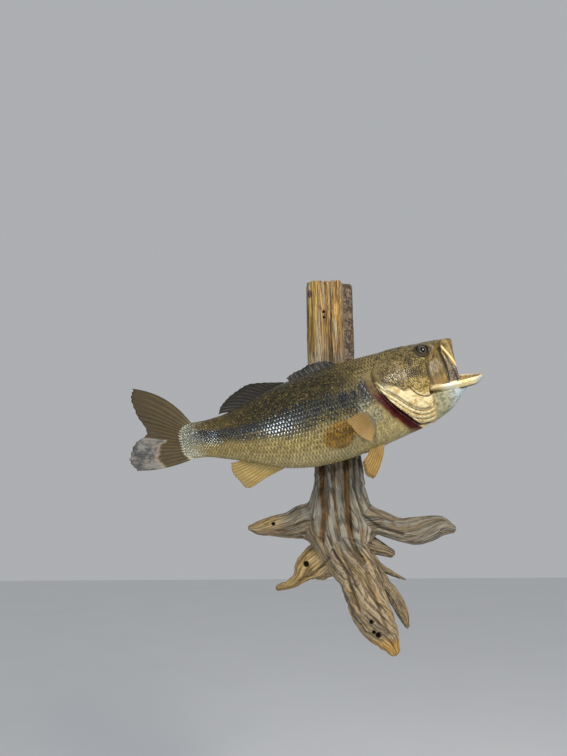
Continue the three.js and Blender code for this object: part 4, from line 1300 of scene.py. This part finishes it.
class Paint:
    """Builds the nodes of one material. Plain colours are (red, green, blue) as srgb takes them."""

    def __init__(self, name, **settings):
        self.material = bpy.data.materials.new(name)
        self.material.use_nodes = True
        self.tree = self.material.node_tree
        self.shader = self.tree.nodes["Principled BSDF"]
        self.give(**settings)

    def give(self, **settings):
        """Sets the shader's inputs: Base_Color is the input Base Color."""
        for key, value in settings.items():
            self.feed(self.shader.inputs[key.replace("_", " ")], value)

    def feed(self, socket, value):
        if isinstance(value, Value):
            self.tree.links.new(value.socket, socket)
        else:
            socket.default_value = srgb(*value) if socket.type == "RGBA" else value

    def node(self, kind, inputs, **settings):
        node = self.tree.nodes.new("ShaderNode" + kind)
        for key, value in settings.items():
            setattr(node, key, value)
        for key, value in inputs.items():
            self.feed(node.inputs[key], value)
        return node

    def value(self, kind, inputs, output=0, **settings):
        """One output of a new node."""
        return Value(self, self.node(kind, inputs, **settings).outputs[output])

    def layer(self, name):
        """The three values of a vertex layer."""
        vector = self.value("Attribute", {}, "Vector", attribute_name=name)
        return [Value(self, part) for part in self.node("SeparateXYZ", {"Vector": vector}).outputs]

    def vector(self, x=0.0, y=0.0, z=0.0):
        return self.value("CombineXYZ", {"X": x, "Y": y, "Z": z})

    def mix(self, share, first, second, blend="MIX"):
        inputs = {0: share, 6: first, 7: second}
        return self.value("Mix", inputs, 2, data_type="RGBA", blend_type=blend)

    def noise(self, where, scale, detail=2.0, rough=0.5, swirl=0.0):
        inputs = {
            "Vector": where, "Scale": scale, "Detail": detail, "Roughness": rough, "Distortion": swirl,
        }
        return self.value("TexNoise", inputs, "Fac")

    def bump(self, height, distance, strength=1.0):
        """Bump for a height in shares of the distance, which is in millimetres."""
        inputs = {"Height": height, "Distance": distance * MM, "Strength": strength}
        self.give(Normal=self.value("Bump", inputs, "Normal"))


def hide_colour(paint):
    """The markings of the fish's sides and head, with some painted shadow and highlights, the same for its
    skin and for its scales.
    """
    a, y, b = paint.layer("mark")
    height, stripe, head = paint.layer("lie")
    gill, shade, throat = paint.layer("edge")
    fin_shadow, chest, base = paint.layer("tint")
    where = paint.vector(a, y, b)
    slant = paint.vector(a * 0.7, y, b)
    swept = paint.vector(b * 0.5 + a * 0.45, y, b)
    broad = paint.noise(where, 0.045, 2, 0.5)
    fine = paint.noise(slant, 0.21, 3, 0.6, 0.6)
    grit = paint.noise(where, 0.42, 3, 0.65)
    speck = paint.noise(where, 0.75, 2, 0.6)
    scratch = paint.noise(swept, 0.5, 3, 0.65, 0.8)
    # buff belly, yellow-olive side, dark back with gold scratches
    level = height + (broad * 0.3 - 0.15)
    level = level + (grit * 0.24 - 0.12)
    belly = grit.blend(0.4, 0.7, (176, 158, 108), (138, 121, 76))
    low = fine.blend(0.36, 0.66, (176, 154, 96), (134, 114, 64))
    side = scratch.blend(0.48, 0.62, (40, 35, 18), (124, 106, 56))
    back = scratch.blend(0.52, 0.62, (26, 23, 11), (116, 98, 52))
    back = a.blend(-20, 60, back, (144, 124, 76), 0.7)
    back = a.blend(-120, -200, back, (142, 116, 66), 0.35)
    low = a.blend(-110, -200, low, (124, 102, 50), 0.5)
    belly = a.blend(-110, -200, belly, (124, 104, 54), 0.5)
    colour = level.blend(-0.92, -0.6, belly, low)
    colour = level.blend(-0.42, -0.16, colour, side)
    colour = level.blend(-0.02, 0.22, colour, back)
    patches = paint.noise(where, 0.09, 3, 0.6).ramp(0.5, 0.62) * level.ramp(0.0, 0.3)
    colour = (patches * 0.5).mix(colour, (24, 22, 14))
    # the stripe of blue-black blotches
    ragged = stripe + (fine * 1.1 - 0.55)
    ragged = ragged + (grit * 0.9 - 0.45)
    ink = speck.blend(0.35, 0.65, (8, 9, 11), (34, 38, 44))
    dark = ragged.ramp(0.2, 0.4, 0.0, 0.96) * head.ramp(1.0, 0.0, 0.2, 1.0)
    colour = dark.mix(colour, ink)
    drops = speck.ramp(0.6, 0.7) * height.ramp(-0.95, -0.4, 0.0, 0.5)
    drops = drops * head.ramp(1.0, 0.2)
    colour = drops.mix(colour, (60, 48, 24))
    # painted highlight: pale green-grey mottles in front of the first blotches, for glinting scales; and the
    # smooth olive-buff chest
    far_a = (a - 30) * 0.08
    far_b = (b + 10) * 0.07
    far = far_a * far_a + far_b * far_b
    highlight_mottle = far.ramp(1.4, 0.2) * grit.ramp(0.46, 0.6)
    colour = (highlight_mottle * 0.8).mix(colour, (172, 176, 154))
    smooth = grit.blend(0.38, 0.64, (126, 113, 72), (170, 153, 104))
    colour = (chest * 0.85).mix(colour, smooth)
    # painted shadow: golden brown where the pectoral fin's shadow falls on the flank, and the grey flesh at
    # its root
    amber = fine.blend(0.36, 0.64, (98, 64, 4), (158, 112, 24))
    colour = fin_shadow.blend(1.12, 0.82, colour, amber, 0.92)
    lobe = grit.blend(0.42, 0.62, (92, 86, 68), (164, 156, 128))
    colour = (base.ramp(0.12, 0.7) * 0.8).mix(colour, lobe)
    # silver blue at the tail's root, its bright specks painted glints
    reach = a + (fine * 50 - 25)
    silver = reach.ramp(-204, -236) * grit.ramp(0.4, 0.6, 0.35, 0.95)
    silver_glints = speck.blend(0.42, 0.62, (134, 134, 118), (238, 238, 220))
    colour = silver.mix(colour, silver_glints)
    # head: dark olive above, golden low on the cheek
    mixed = fine * 0.5 + grit * 0.5
    plate = mixed.blend(0.42, 0.58, (56, 45, 20), (138, 116, 62))
    cover = mixed.blend(0.42, 0.58, (78, 63, 38), (138, 118, 78))
    cover = a.blend(74, 60, cover, (78, 62, 44), 0.5)
    plate = a.blend(97, 88, plate, cover)
    gold = mixed.blend(0.42, 0.58, (108, 86, 38), (186, 158, 92))
    rise = b + (fine * 26 - 13)
    low_cheek = rise.ramp(20, 8) * a.ramp(86, 98)
    plate = low_cheek.mix(plate, gold)
    smudge = broad.ramp(0.42, 0.56) * a.ramp(96, 106)
    smudge = smudge * b.ramp(8, 20)
    plate = (smudge * 0.7).mix(plate, (42, 34, 12))
    # painted glints: a cluster of pale flecks on the gill cover stands for its highlights
    glint_a = (a - 76) * 0.08
    glint_b = (b - 21) * 0.14
    glint = glint_a * glint_a + glint_b * glint_b
    glint = glint.ramp(1.2, 0.2) * grit.ramp(0.48, 0.58)
    plate = (glint * 0.8).mix(plate, (232, 220, 188))
    # painted glints: small gold flecks over the head
    gold_glints = grit.ramp(0.58, 0.66) * broad.ramp(0.58, 0.42)
    plate = (gold_glints * 0.6).mix(plate, (206, 184, 116))
    crown = mixed.blend(0.42, 0.6, (54, 46, 26), (128, 112, 72))
    plate = height.blend(0.45, 0.75, plate, crown)
    colour = (head * 0.92).mix(colour, plate)
    # painted shadow: umber on the body beside the gill slit, where the gill cover shades it; then the dark
    # maroon gill opening
    umber = fine.blend(0.34, 0.66, (66, 44, 16), (106, 80, 36))
    colour = (shade * 0.9).mix(colour, umber)
    maroon = fine.blend(0.3, 0.7, (50, 2, 6), (86, 10, 12))
    colour = gill.mix(colour, maroon)
    grey = fine.blend(0.34, 0.66, (122, 118, 92), (176, 168, 132))
    grey = grit.blend(0.56, 0.7, grey, (96, 94, 74), 0.4)
    # painted highlight: paler blue-white towards the throat's front edge
    throat_glare = a.ramp(142, 172) * fine.ramp(0.36, 0.56, 0.3, 1.0)
    grey = throat_glare.mix(grey, (192, 206, 212))
    colour = throat.mix(colour, grey)
    return colour, {
        "a": a, "b": b, "height": height, "head": head, "chest": chest,
        "fine": fine, "grit": grit, "speck": speck, "broad": broad,
    }


def skin_paint():
    """The hide's colours, and the bare parts of the head, mouth and gills."""
    paint = Paint("bass_skin", Coat_Roughness=0.16, Specular_IOR_Level=0.2)
    colour, marks = hide_colour(paint)
    fine, grit, speck, broad, a, b = (marks[k] for k in ("fine", "grit", "speck", "broad", "a", "b"))
    pale, membrane, bone = paint.layer("face")
    inside, gill, crease_shade = paint.layer("inner")
    lip, ridge, low_bone = paint.layer("trim")
    where = paint.vector(*paint.layer("mark"))
    cream = fine.blend(0.34, 0.58, (186, 154, 92), (228, 212, 164))
    cream = grit.blend(0.56, 0.72, cream, (160, 144, 108), 0.5)
    colour = pale.mix(colour, cream)
    away, pleated, _ = paint.layer("pleat")
    # painted shade: brown lines in the troughs between the pleats under the gill cover
    fold = (away * (2 * math.pi / RIB_STEP)).math("COSINE")
    fold = fold.ramp(0.1, -0.95) * pleated * away.ramp(0.8, 2.0)
    colour = (fold * fine.ramp(0.3, 0.7, 0.35, 0.7)).mix(colour, (112, 86, 46))
    upright = paint.noise(paint.vector(a, 0.0, b * 0.3), 0.3, 3, 0.6, 0.5)
    tan = upright.blend(0.36, 0.62, (72, 55, 20), (118, 95, 44))
    tan = grit.blend(0.54, 0.66, tan, (140, 98, 44), 0.6)
    # painted highlight: pale upright streaks on the membrane
    tan = (upright.ramp(0.58, 0.68) * 0.7).mix(tan, (168, 144, 86))
    brown = grit.blend(0.4, 0.6, (84, 68, 42), (132, 112, 76))
    tan = (a.ramp(138, 132) * b.ramp(44, 32)).mix(tan, brown)
    tan = b.blend(16, 2, tan, (150, 118, 66), 0.6)
    colour = membrane.mix(colour, tan)
    gold = upright.blend(0.4, 0.6, (92, 74, 36), (158, 134, 82))
    mauve = grit.blend(0.4, 0.6, (70, 58, 50), (130, 112, 100))
    gold = low_bone.mix(gold, mauve)
    # painted highlight: a pale line along the raised ridge of the jaw bone
    gold = ridge.mix(gold, (240, 208, 140))
    colour = bone.mix(colour, gold)
    band = fine.blend(0.4, 0.6, (248, 214, 140), (255, 246, 196))
    # painted highlight: the lip band greys towards the jaw's tip for the cool light's blue-white
    tip = speck.blend(0.4, 0.6, (206, 208, 204), (172, 172, 172))
    band = a.blend(190, 204, band, tip)
    corner = a.ramp(172, 154) * a.ramp(136, 152, 0.0, 0.8)
    band = a.blend(152, 134, band, (196, 168, 120), 0.8)
    band = corner.mix(band, (246, 242, 226))
    colour = lip.mix(colour, band)
    flesh = grit.blend(0.4, 0.6, (92, 72, 66), (150, 128, 116))
    floor = grit.blend(0.4, 0.6, (150, 122, 78), (206, 178, 122))
    flesh = a.blend(172, 186, flesh, floor)
    colour = inside.mix(colour, flesh)
    maroon = fine.blend(0.3, 0.7, (46, 6, 14), (70, 14, 22))
    colour = gill.mix(colour, maroon)
    # painted shade with the seams' own dark: the crease lines of the head
    colour = (crease_shade * 0.9).mix(colour, (38, 28, 12))
    paint.give(Base_Color=colour)
    pores = paint.noise(where, 1.4, 2, 0.6)
    wrinkle = paint.noise(where, 0.35, 3, 0.6)
    relief = pores * 0.5 + wrinkle * 0.9
    paint.bump(relief, 0.7, 0.8)
    paint.give(Roughness=speck.ramp(0.3, 0.7, 0.3, 0.48))
    edge = paint.layer("edge")
    dry = edge[0].ramp(0.0, 1.0, 1.0, 0.1) * lip.ramp(0.0, 1.0, 1.0, 0.2)
    dry = dry * edge[1].ramp(0.0, 1.0, 1.0, 0.5)
    dry = dry * membrane.ramp(0.0, 1.0, 1.0, 0.4)
    paint.give(Coat_Weight=dry * broad.ramp(0.3, 0.7, 0.12, 0.34))
    return paint.material


def scale_paint():
    """The hide's colours, with a dark root, a pale rim that is partly a painted sheen, and a tone for each
    scale.
    """
    paint = Paint("bass_scales", Coat_Roughness=0.17, Specular_IOR_Level=0.12)
    colour, marks = hide_colour(paint)
    along, across, chance = paint.layer("scale")
    head, chest, height = marks["head"], marks["chest"], marks["height"]
    plain = head.ramp(0.0, 1.0, 1.0, 0.3) * chest.ramp(0.0, 1.0, 1.0, 0.1)
    plain = plain * height.ramp(-1.0, -0.66, 0.4, 1.0)
    middle = abs(across - 0.5)
    # a dark spot where each scale comes out from under the others, and a pale rim: a gold net on the back, a
    # painted sheen lower down
    spot = middle.ramp(0.24, 0.06) * along.ramp(0.72, 0.58)
    spot = spot * height.ramp(-0.6, 0.0, 0.48, 0.7)
    colour = (spot * plain).mix(colour, (50, 40, 20))
    curve = middle * middle * 1.36
    rim = 1.0 - curve - along
    rim = rim.ramp(0.16, 0.06) * marks["fine"].ramp(0.4, 0.56)
    sheen = rim * (plain * height.ramp(-0.3, 0.3, 0.35, 0.8))
    pale = height.blend(0.0, 0.3, (216, 202, 152), (146, 126, 72))
    colour = sheen.mix(colour, pale)
    tone = chance.ramp(0.0, 1.0, 0.84, 1.12)
    shade = paint.value("CombineColor", {0: tone, 1: tone, 2: tone})
    colour = paint.mix(1.0, colour, shade, "MULTIPLY")
    paint.give(Base_Color=colour)
    rings = ((along + middle) * 60).math("SINE")
    paint.bump(rings, 0.04, 0.5)
    paint.give(Roughness=marks["speck"].ramp(0.3, 0.7, 0.26, 0.44))
    shade = paint.layer("edge")[1]
    coat = head.ramp(0.0, 1.0, 0.55, 0.2) * shade.ramp(0.0, 0.7, 1.0, 0.2)
    paint.give(Coat_Weight=coat)
    return paint.material


def fin_paint(name, web, ray, edge, root, low=None, spots=0.3, strength=1.0, root_reach=0.2):
    """Fins: a thin web between paler or darker rays, darker and streaked towards the margin."""
    paint = Paint(name, Coat_Weight=0.12, Coat_Roughness=0.3, Specular_IOR_Level=0.25)
    phase, out, ridge = paint.layer("fin")
    a, y, b = paint.layer("mark")
    mended, rim, strip = paint.layer("wear")
    where = paint.vector(a, y, b)
    streak = paint.noise(paint.vector(phase * 2.2, out * 2.0, 0.0), 2.0, 3, 0.6)
    blot = paint.noise(where, 0.12, 3, 0.6)
    fine = paint.noise(where, 0.6, 2, 0.6)
    ripple = paint.noise(paint.vector(phase * 0.35, out * 9.0, 3.0), 1.0, 2, 0.5)
    colour = ridge.blend(0.35, 0.9, web, ray, strength)
    colour = streak.blend(0.42, 0.68, colour, edge, 0.6)
    colour = out.blend(0.55, 1.0, colour, edge, 0.55)
    colour = ripple.blend(0.5, 0.66, colour, edge, 0.3)
    colour = blot.blend(0.55, 0.7, colour, (52, 44, 30), spots)
    if low:
        colour = phase.blend(6, 12, colour, low, 0.5)
    flesh = fine.blend(0.38, 0.62, root, (60, 54, 38), 0.5)
    colour = out.blend(root_reach, 0.2 * root_reach, colour, flesh, 0.9)
    cloud = paint.noise(where, 0.1, 4, 0.6)
    grey = cloud.blend(0.36, 0.64, (70, 68, 66), (130, 123, 113))
    colour = mended.mix(colour, grey)
    colour = (rim * 0.8).mix(colour, (166, 146, 124))
    colour = strip.mix(colour, (214, 194, 152))
    joints = (out * 190).math("SINE")
    joints = joints.ramp(0.3, 0.9) * out.ramp(0.3, 0.5)
    whole = mended.ramp(1.0, 0.0)
    colour = (joints * whole * 0.14).mix(colour, (60, 50, 34))
    paint.give(Base_Color=colour)
    paint.bump(streak * 1.2 * whole + fine, 0.4, 0.7)
    paint.give(Roughness=fine.ramp(0.3, 0.7, 0.42, 0.62))
    return paint.material


def eye_paint():
    """A black pupil in a thin gold ring, and a brown iris."""
    paint = Paint("glass_eye", Roughness=0.12, Coat_Weight=0.5, Coat_Roughness=0.03,
                  Specular_IOR_Level=0.2)
    turn, c, s = paint.layer("eye")
    wedge = paint.noise(paint.vector(c, s, turn), 7.0, 3, 0.6)
    ring = paint.noise(paint.vector(c * 3, s * 3, turn), 4.0, 2)
    iris = wedge.blend(0.4, 0.6, (30, 25, 18), (78, 68, 52))
    iris = turn.blend(0.74, 0.92, iris, (16, 13, 9))
    iris = turn.blend(0.56, 0.49, iris, (140, 122, 86), 0.6)
    iris = ring.blend(0.52, 0.62, iris, (24, 20, 14), 0.5)
    iris = turn.blend(0.48, 0.44, iris, (3, 3, 5))
    paint.give(Base_Color=iris)
    return paint.material


def wood_paint():
    """Grey, tan and brown fibres that follow the grain, with dark cracks and painted shade in the hollows.
    """
    paint = Paint("driftwood", Specular_IOR_Level=0.2)
    gx, gy, gz = paint.layer("grain")
    warm, hollow, root = paint.layer("tone")
    x, y, z = paint.layer("place")
    along = lambda share: paint.vector(gx, gy, gz * share)
    fibres = paint.noise(along(0.035), 0.42, 4, 0.7, 0.15)
    hairs = paint.noise(along(0.05), 0.95, 2, 0.6)
    strips = paint.noise(along(0.07), 0.16, 3, 0.6, 0.4)
    tint = paint.noise(along(0.12), 0.1, 2, 0.5, 0.4)
    split = abs(paint.noise(along(0.045), 0.22, 2, 0.6, 0.3) - 0.5)
    blot = paint.noise(paint.vector(x, y, z), 0.035, 3, 0.6)
    knots = paint.noise(paint.vector(x, y, z), 0.11, 3, 0.65, 1.6)
    grey = fibres.blend(0.34, 0.66, (94, 84, 70), (160, 150, 132))
    grey = strips.blend(0.48, 0.62, grey, (128, 106, 78), 0.6)
    grey = blot.blend(0.5, 0.62, grey, (138, 138, 130), 0.5)
    tan = fibres.blend(0.38, 0.6, (112, 74, 34), (206, 166, 102))
    olive = fibres.blend(0.38, 0.6, (126, 96, 36), (196, 160, 82))
    tan = x.blend(-28, -40, tan, olive)
    tan = strips.blend(0.5, 0.6, tan, (84, 58, 34), 0.8)
    tan = tint.blend(0.54, 0.62, tan, (176, 162, 132), 0.8)
    colour = (warm * strips.ramp(0.3, 0.5, 0.75, 1.0)).mix(grey, tan)
    rust = fibres.blend(0.38, 0.6, (74, 52, 32), (134, 102, 66))
    colour = (warm * z.ramp(-170, -210)).mix(colour, rust)
    brown = fibres.blend(0.4, 0.58, (102, 86, 66), (174, 152, 118))
    brown = knots.blend(0.54, 0.62, brown, (92, 82, 74), 0.7)
    brown = knots.blend(0.44, 0.36, brown, (196, 170, 128), 0.6)
    brown = strips.blend(0.5, 0.62, brown, (190, 158, 108), 0.75)
    amber = fibres.blend(0.38, 0.6, (128, 96, 48), (196, 162, 100))
    brown = (x.ramp(-20, -60) * 0.8).mix(brown, amber)
    colour = (root * 0.85).mix(colour, brown)
    ochre = fibres.blend(0.4, 0.58, (150, 104, 44), (212, 168, 92))
    colour = (z.ramp(-455, -470) * 0.8).mix(colour, ochre)
    # darker, knotted brown on the post's set-back right-hand ledge
    flank = x.ramp(8, 12) * z.ramp(-190, -150)
    ledge_brown = knots.blend(0.42, 0.6, (62, 48, 38), (132, 112, 92))
    colour = (flank * 0.9).mix(colour, ledge_brown)
    # painted shade in the channels, deep grooves and nail holes
    colour = hollow.mix(colour, (36, 24, 14))
    colour = split.blend(0.04, 0.01, colour, (44, 32, 20), 0.6)
    colour = hairs.blend(0.42, 0.34, colour, (56, 44, 30), 0.5)
    # the purple knot near the top of the post
    knot = (x + 45) ** 2.0 + ((z - 69) * 0.5) ** 2.0
    knot = knot.ramp(22, 6) * warm
    colour = (knot * 0.85).mix(colour, (70, 40, 54))
    paint.give(Base_Color=colour)
    height = fibres + hairs * 0.5
    paint.bump(height, 1.6, 1.0)
    paint.give(Roughness=fibres.ramp(0.3, 0.7, 0.66, 0.9))
    return paint.material


def floor_paint():
    paint = Paint("studio_floor", Roughness=0.8)
    where = paint.value("NewGeometry", {}, "Position")
    grain = paint.noise(where, 3.0, 2, 0.5)
    paint.give(Base_Color=grain.mix((228, 229, 231), (234, 235, 236)))
    return paint.material


# ---------------------------------------------------------------- putting it together


def build_skin():
    vertices, quads = flesh_skin()
    layers = {**body_zones(vertices), **flesh_zones(vertices)}
    piece = make_mesh("bass_skin", to_row(vertices), [quads], skin_paint(), vectors=layers)
    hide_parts(*FLESH)
    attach(piece, "root")


def build_coat():
    paint = scale_paint()
    trunk, head = trunk_scale_roots(), head_scale_roots()
    for side, word in ((-1, "right"), (1, "left")):
        scale_mesh("trunk_scales_" + word, HIDE, trunk, side, paint)
        scale_mesh("head_scales_" + word, HEAD_HIDE, head, side, paint)


FIN_COLOURS = {
    "caudal_fin": dict(
        web=(84, 68, 37), ray=(45, 36, 18), edge=(64, 51, 28), root=(100, 88, 56), strength=0.7),
    "soft_dorsal_fin": dict(web=(26, 23, 18), ray=(60, 49, 32), edge=(18, 16, 13), root=(116, 100, 66)),
    "spiny_dorsal_fin": dict(web=(20, 20, 17), ray=(98, 86, 58), edge=(20, 21, 21), root=(80, 68, 40)),
    "anal_fin": dict(
        web=(150, 123, 64), ray=(192, 166, 104), edge=(124, 98, 48), root=(176, 156, 110), spots=0.15),
    "pectoral_fin": dict(
        web=(118, 92, 48), ray=(168, 138, 84), edge=(138, 108, 60), root=(122, 116, 96), low=(170, 140, 92),
        spots=0.1, strength=0.7, root_reach=0.42),
    "pelvic_fin": dict(
        web=(134, 104, 46), ray=(188, 152, 84), edge=(124, 94, 42), root=(172, 152, 106), spots=0.1),
}
DARK_FINS = ("caudal_fin", "soft_dorsal_fin", "spiny_dorsal_fin")


def build_fins():
    paints = {kind: fin_paint(kind, **colours) for kind, colours in FIN_COLOURS.items()}
    for node, shape in FINS.items():
        kind = node.removesuffix("_right").removesuffix("_left")
        piece = fin_mesh(node, paints[kind], **shape)
        "dark_fin" if kind in DARK_FINS else "golden_fin"


def build_eyes():
    paint = eye_paint()
    for node, side in (("eye_right", -1), ("eye_left", 1)):
        eye_mesh(node, side, paint)


def build_wood():
    vertices, quads = wood_skin()
    piece = make_mesh("driftwood_skin", vertices * MM, [quads], wood_paint(), vectors=wood_layers(vertices))
    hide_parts("driftwood_post", "hanger_block", *LIMBS)
    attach(piece, "root")


build_skin()
build_coat()
build_fins()
build_eyes()
build_wood()

# ---------------------------------------------------------------- camera, light and floor

CAMERA_AT = (-27, -902.5, -300)
YAW, PITCH, ROLL = math.radians(4.33), math.radians(14.9), math.radians(-0.78)
FOCAL_PX, LONG_SIDE_PX = 545, 756


def add_camera():
    data = bpy.data.cameras.new("camera")
    data.sensor_width = 36
    data.lens = FOCAL_PX / LONG_SIDE_PX * data.sensor_width
    data.clip_start, data.clip_end = 0.01, 20
    camera = add_object("camera", data)
    forward = np.array([-math.sin(YAW) * math.cos(PITCH), math.cos(YAW) * math.cos(PITCH), math.sin(PITCH)])
    level = np.array([math.cos(YAW), math.sin(YAW), 0])
    upright = np.cross(level, forward)
    right = math.cos(ROLL) * level + math.sin(ROLL) * upright
    up = -math.sin(ROLL) * level + math.cos(ROLL) * upright
    turn = Matrix(np.array([right, up, -forward]).T.tolist()).to_4x4()
    camera.matrix_world = Matrix.Translation([v * MM for v in CAMERA_AT]) @ turn
    bpy.context.scene.camera = camera


def add_area(name, at, to, size, power, colour):
    data = bpy.data.lights.new(name, "AREA")
    data.shape, data.size, data.energy, data.color = "DISK", size, power, colour
    light = add_object(name, data)
    light.location = at
    light.rotation_euler = (Vector(to) - light.location).to_track_quat("-Z", "Y").to_euler()


FLOOR_HEIGHT, FLOOR_HALF = -0.95, 6
ROOM_COLOUR, ROOM_LIGHT = (0.80, 0.82, 0.85, 1), 0.52
LIGHTS = {  # in metres and watts: place, what it points at, size, power, colour
    "key": ((0.75, -1.2, 0.6), (0, -0.1, -0.15), 0.5, 18.5, (1.0, 0.96, 0.89)),
    "window": ((-0.26, -1.28, -0.06), (-0.08, -0.13, -0.15), 0.13, 6, (0.78, 0.90, 1.0)),
}


def add_studio():
    world = bpy.data.worlds.new("studio")
    world.use_nodes = True
    background = world.node_tree.nodes["Background"].inputs
    background["Color"].default_value, background["Strength"].default_value = ROOM_COLOUR, ROOM_LIGHT
    bpy.context.scene.world = world
    bpy.context.scene.view_settings.view_transform = "Standard"
    for name, light in LIGHTS.items():
        add_area(name, *light)


def add_floor():
    corners = FLOOR_HALF * np.array([(-1, -1), (1, -1), (1, 1), (-1, 1)], float)
    points = np.concatenate([corners, np.full((4, 1), FLOOR_HEIGHT)], 1)
    make_mesh("studio_floor", points, [np.array([[0, 1, 2, 3]])], floor_paint())


add_camera()
add_studio()
add_floor()
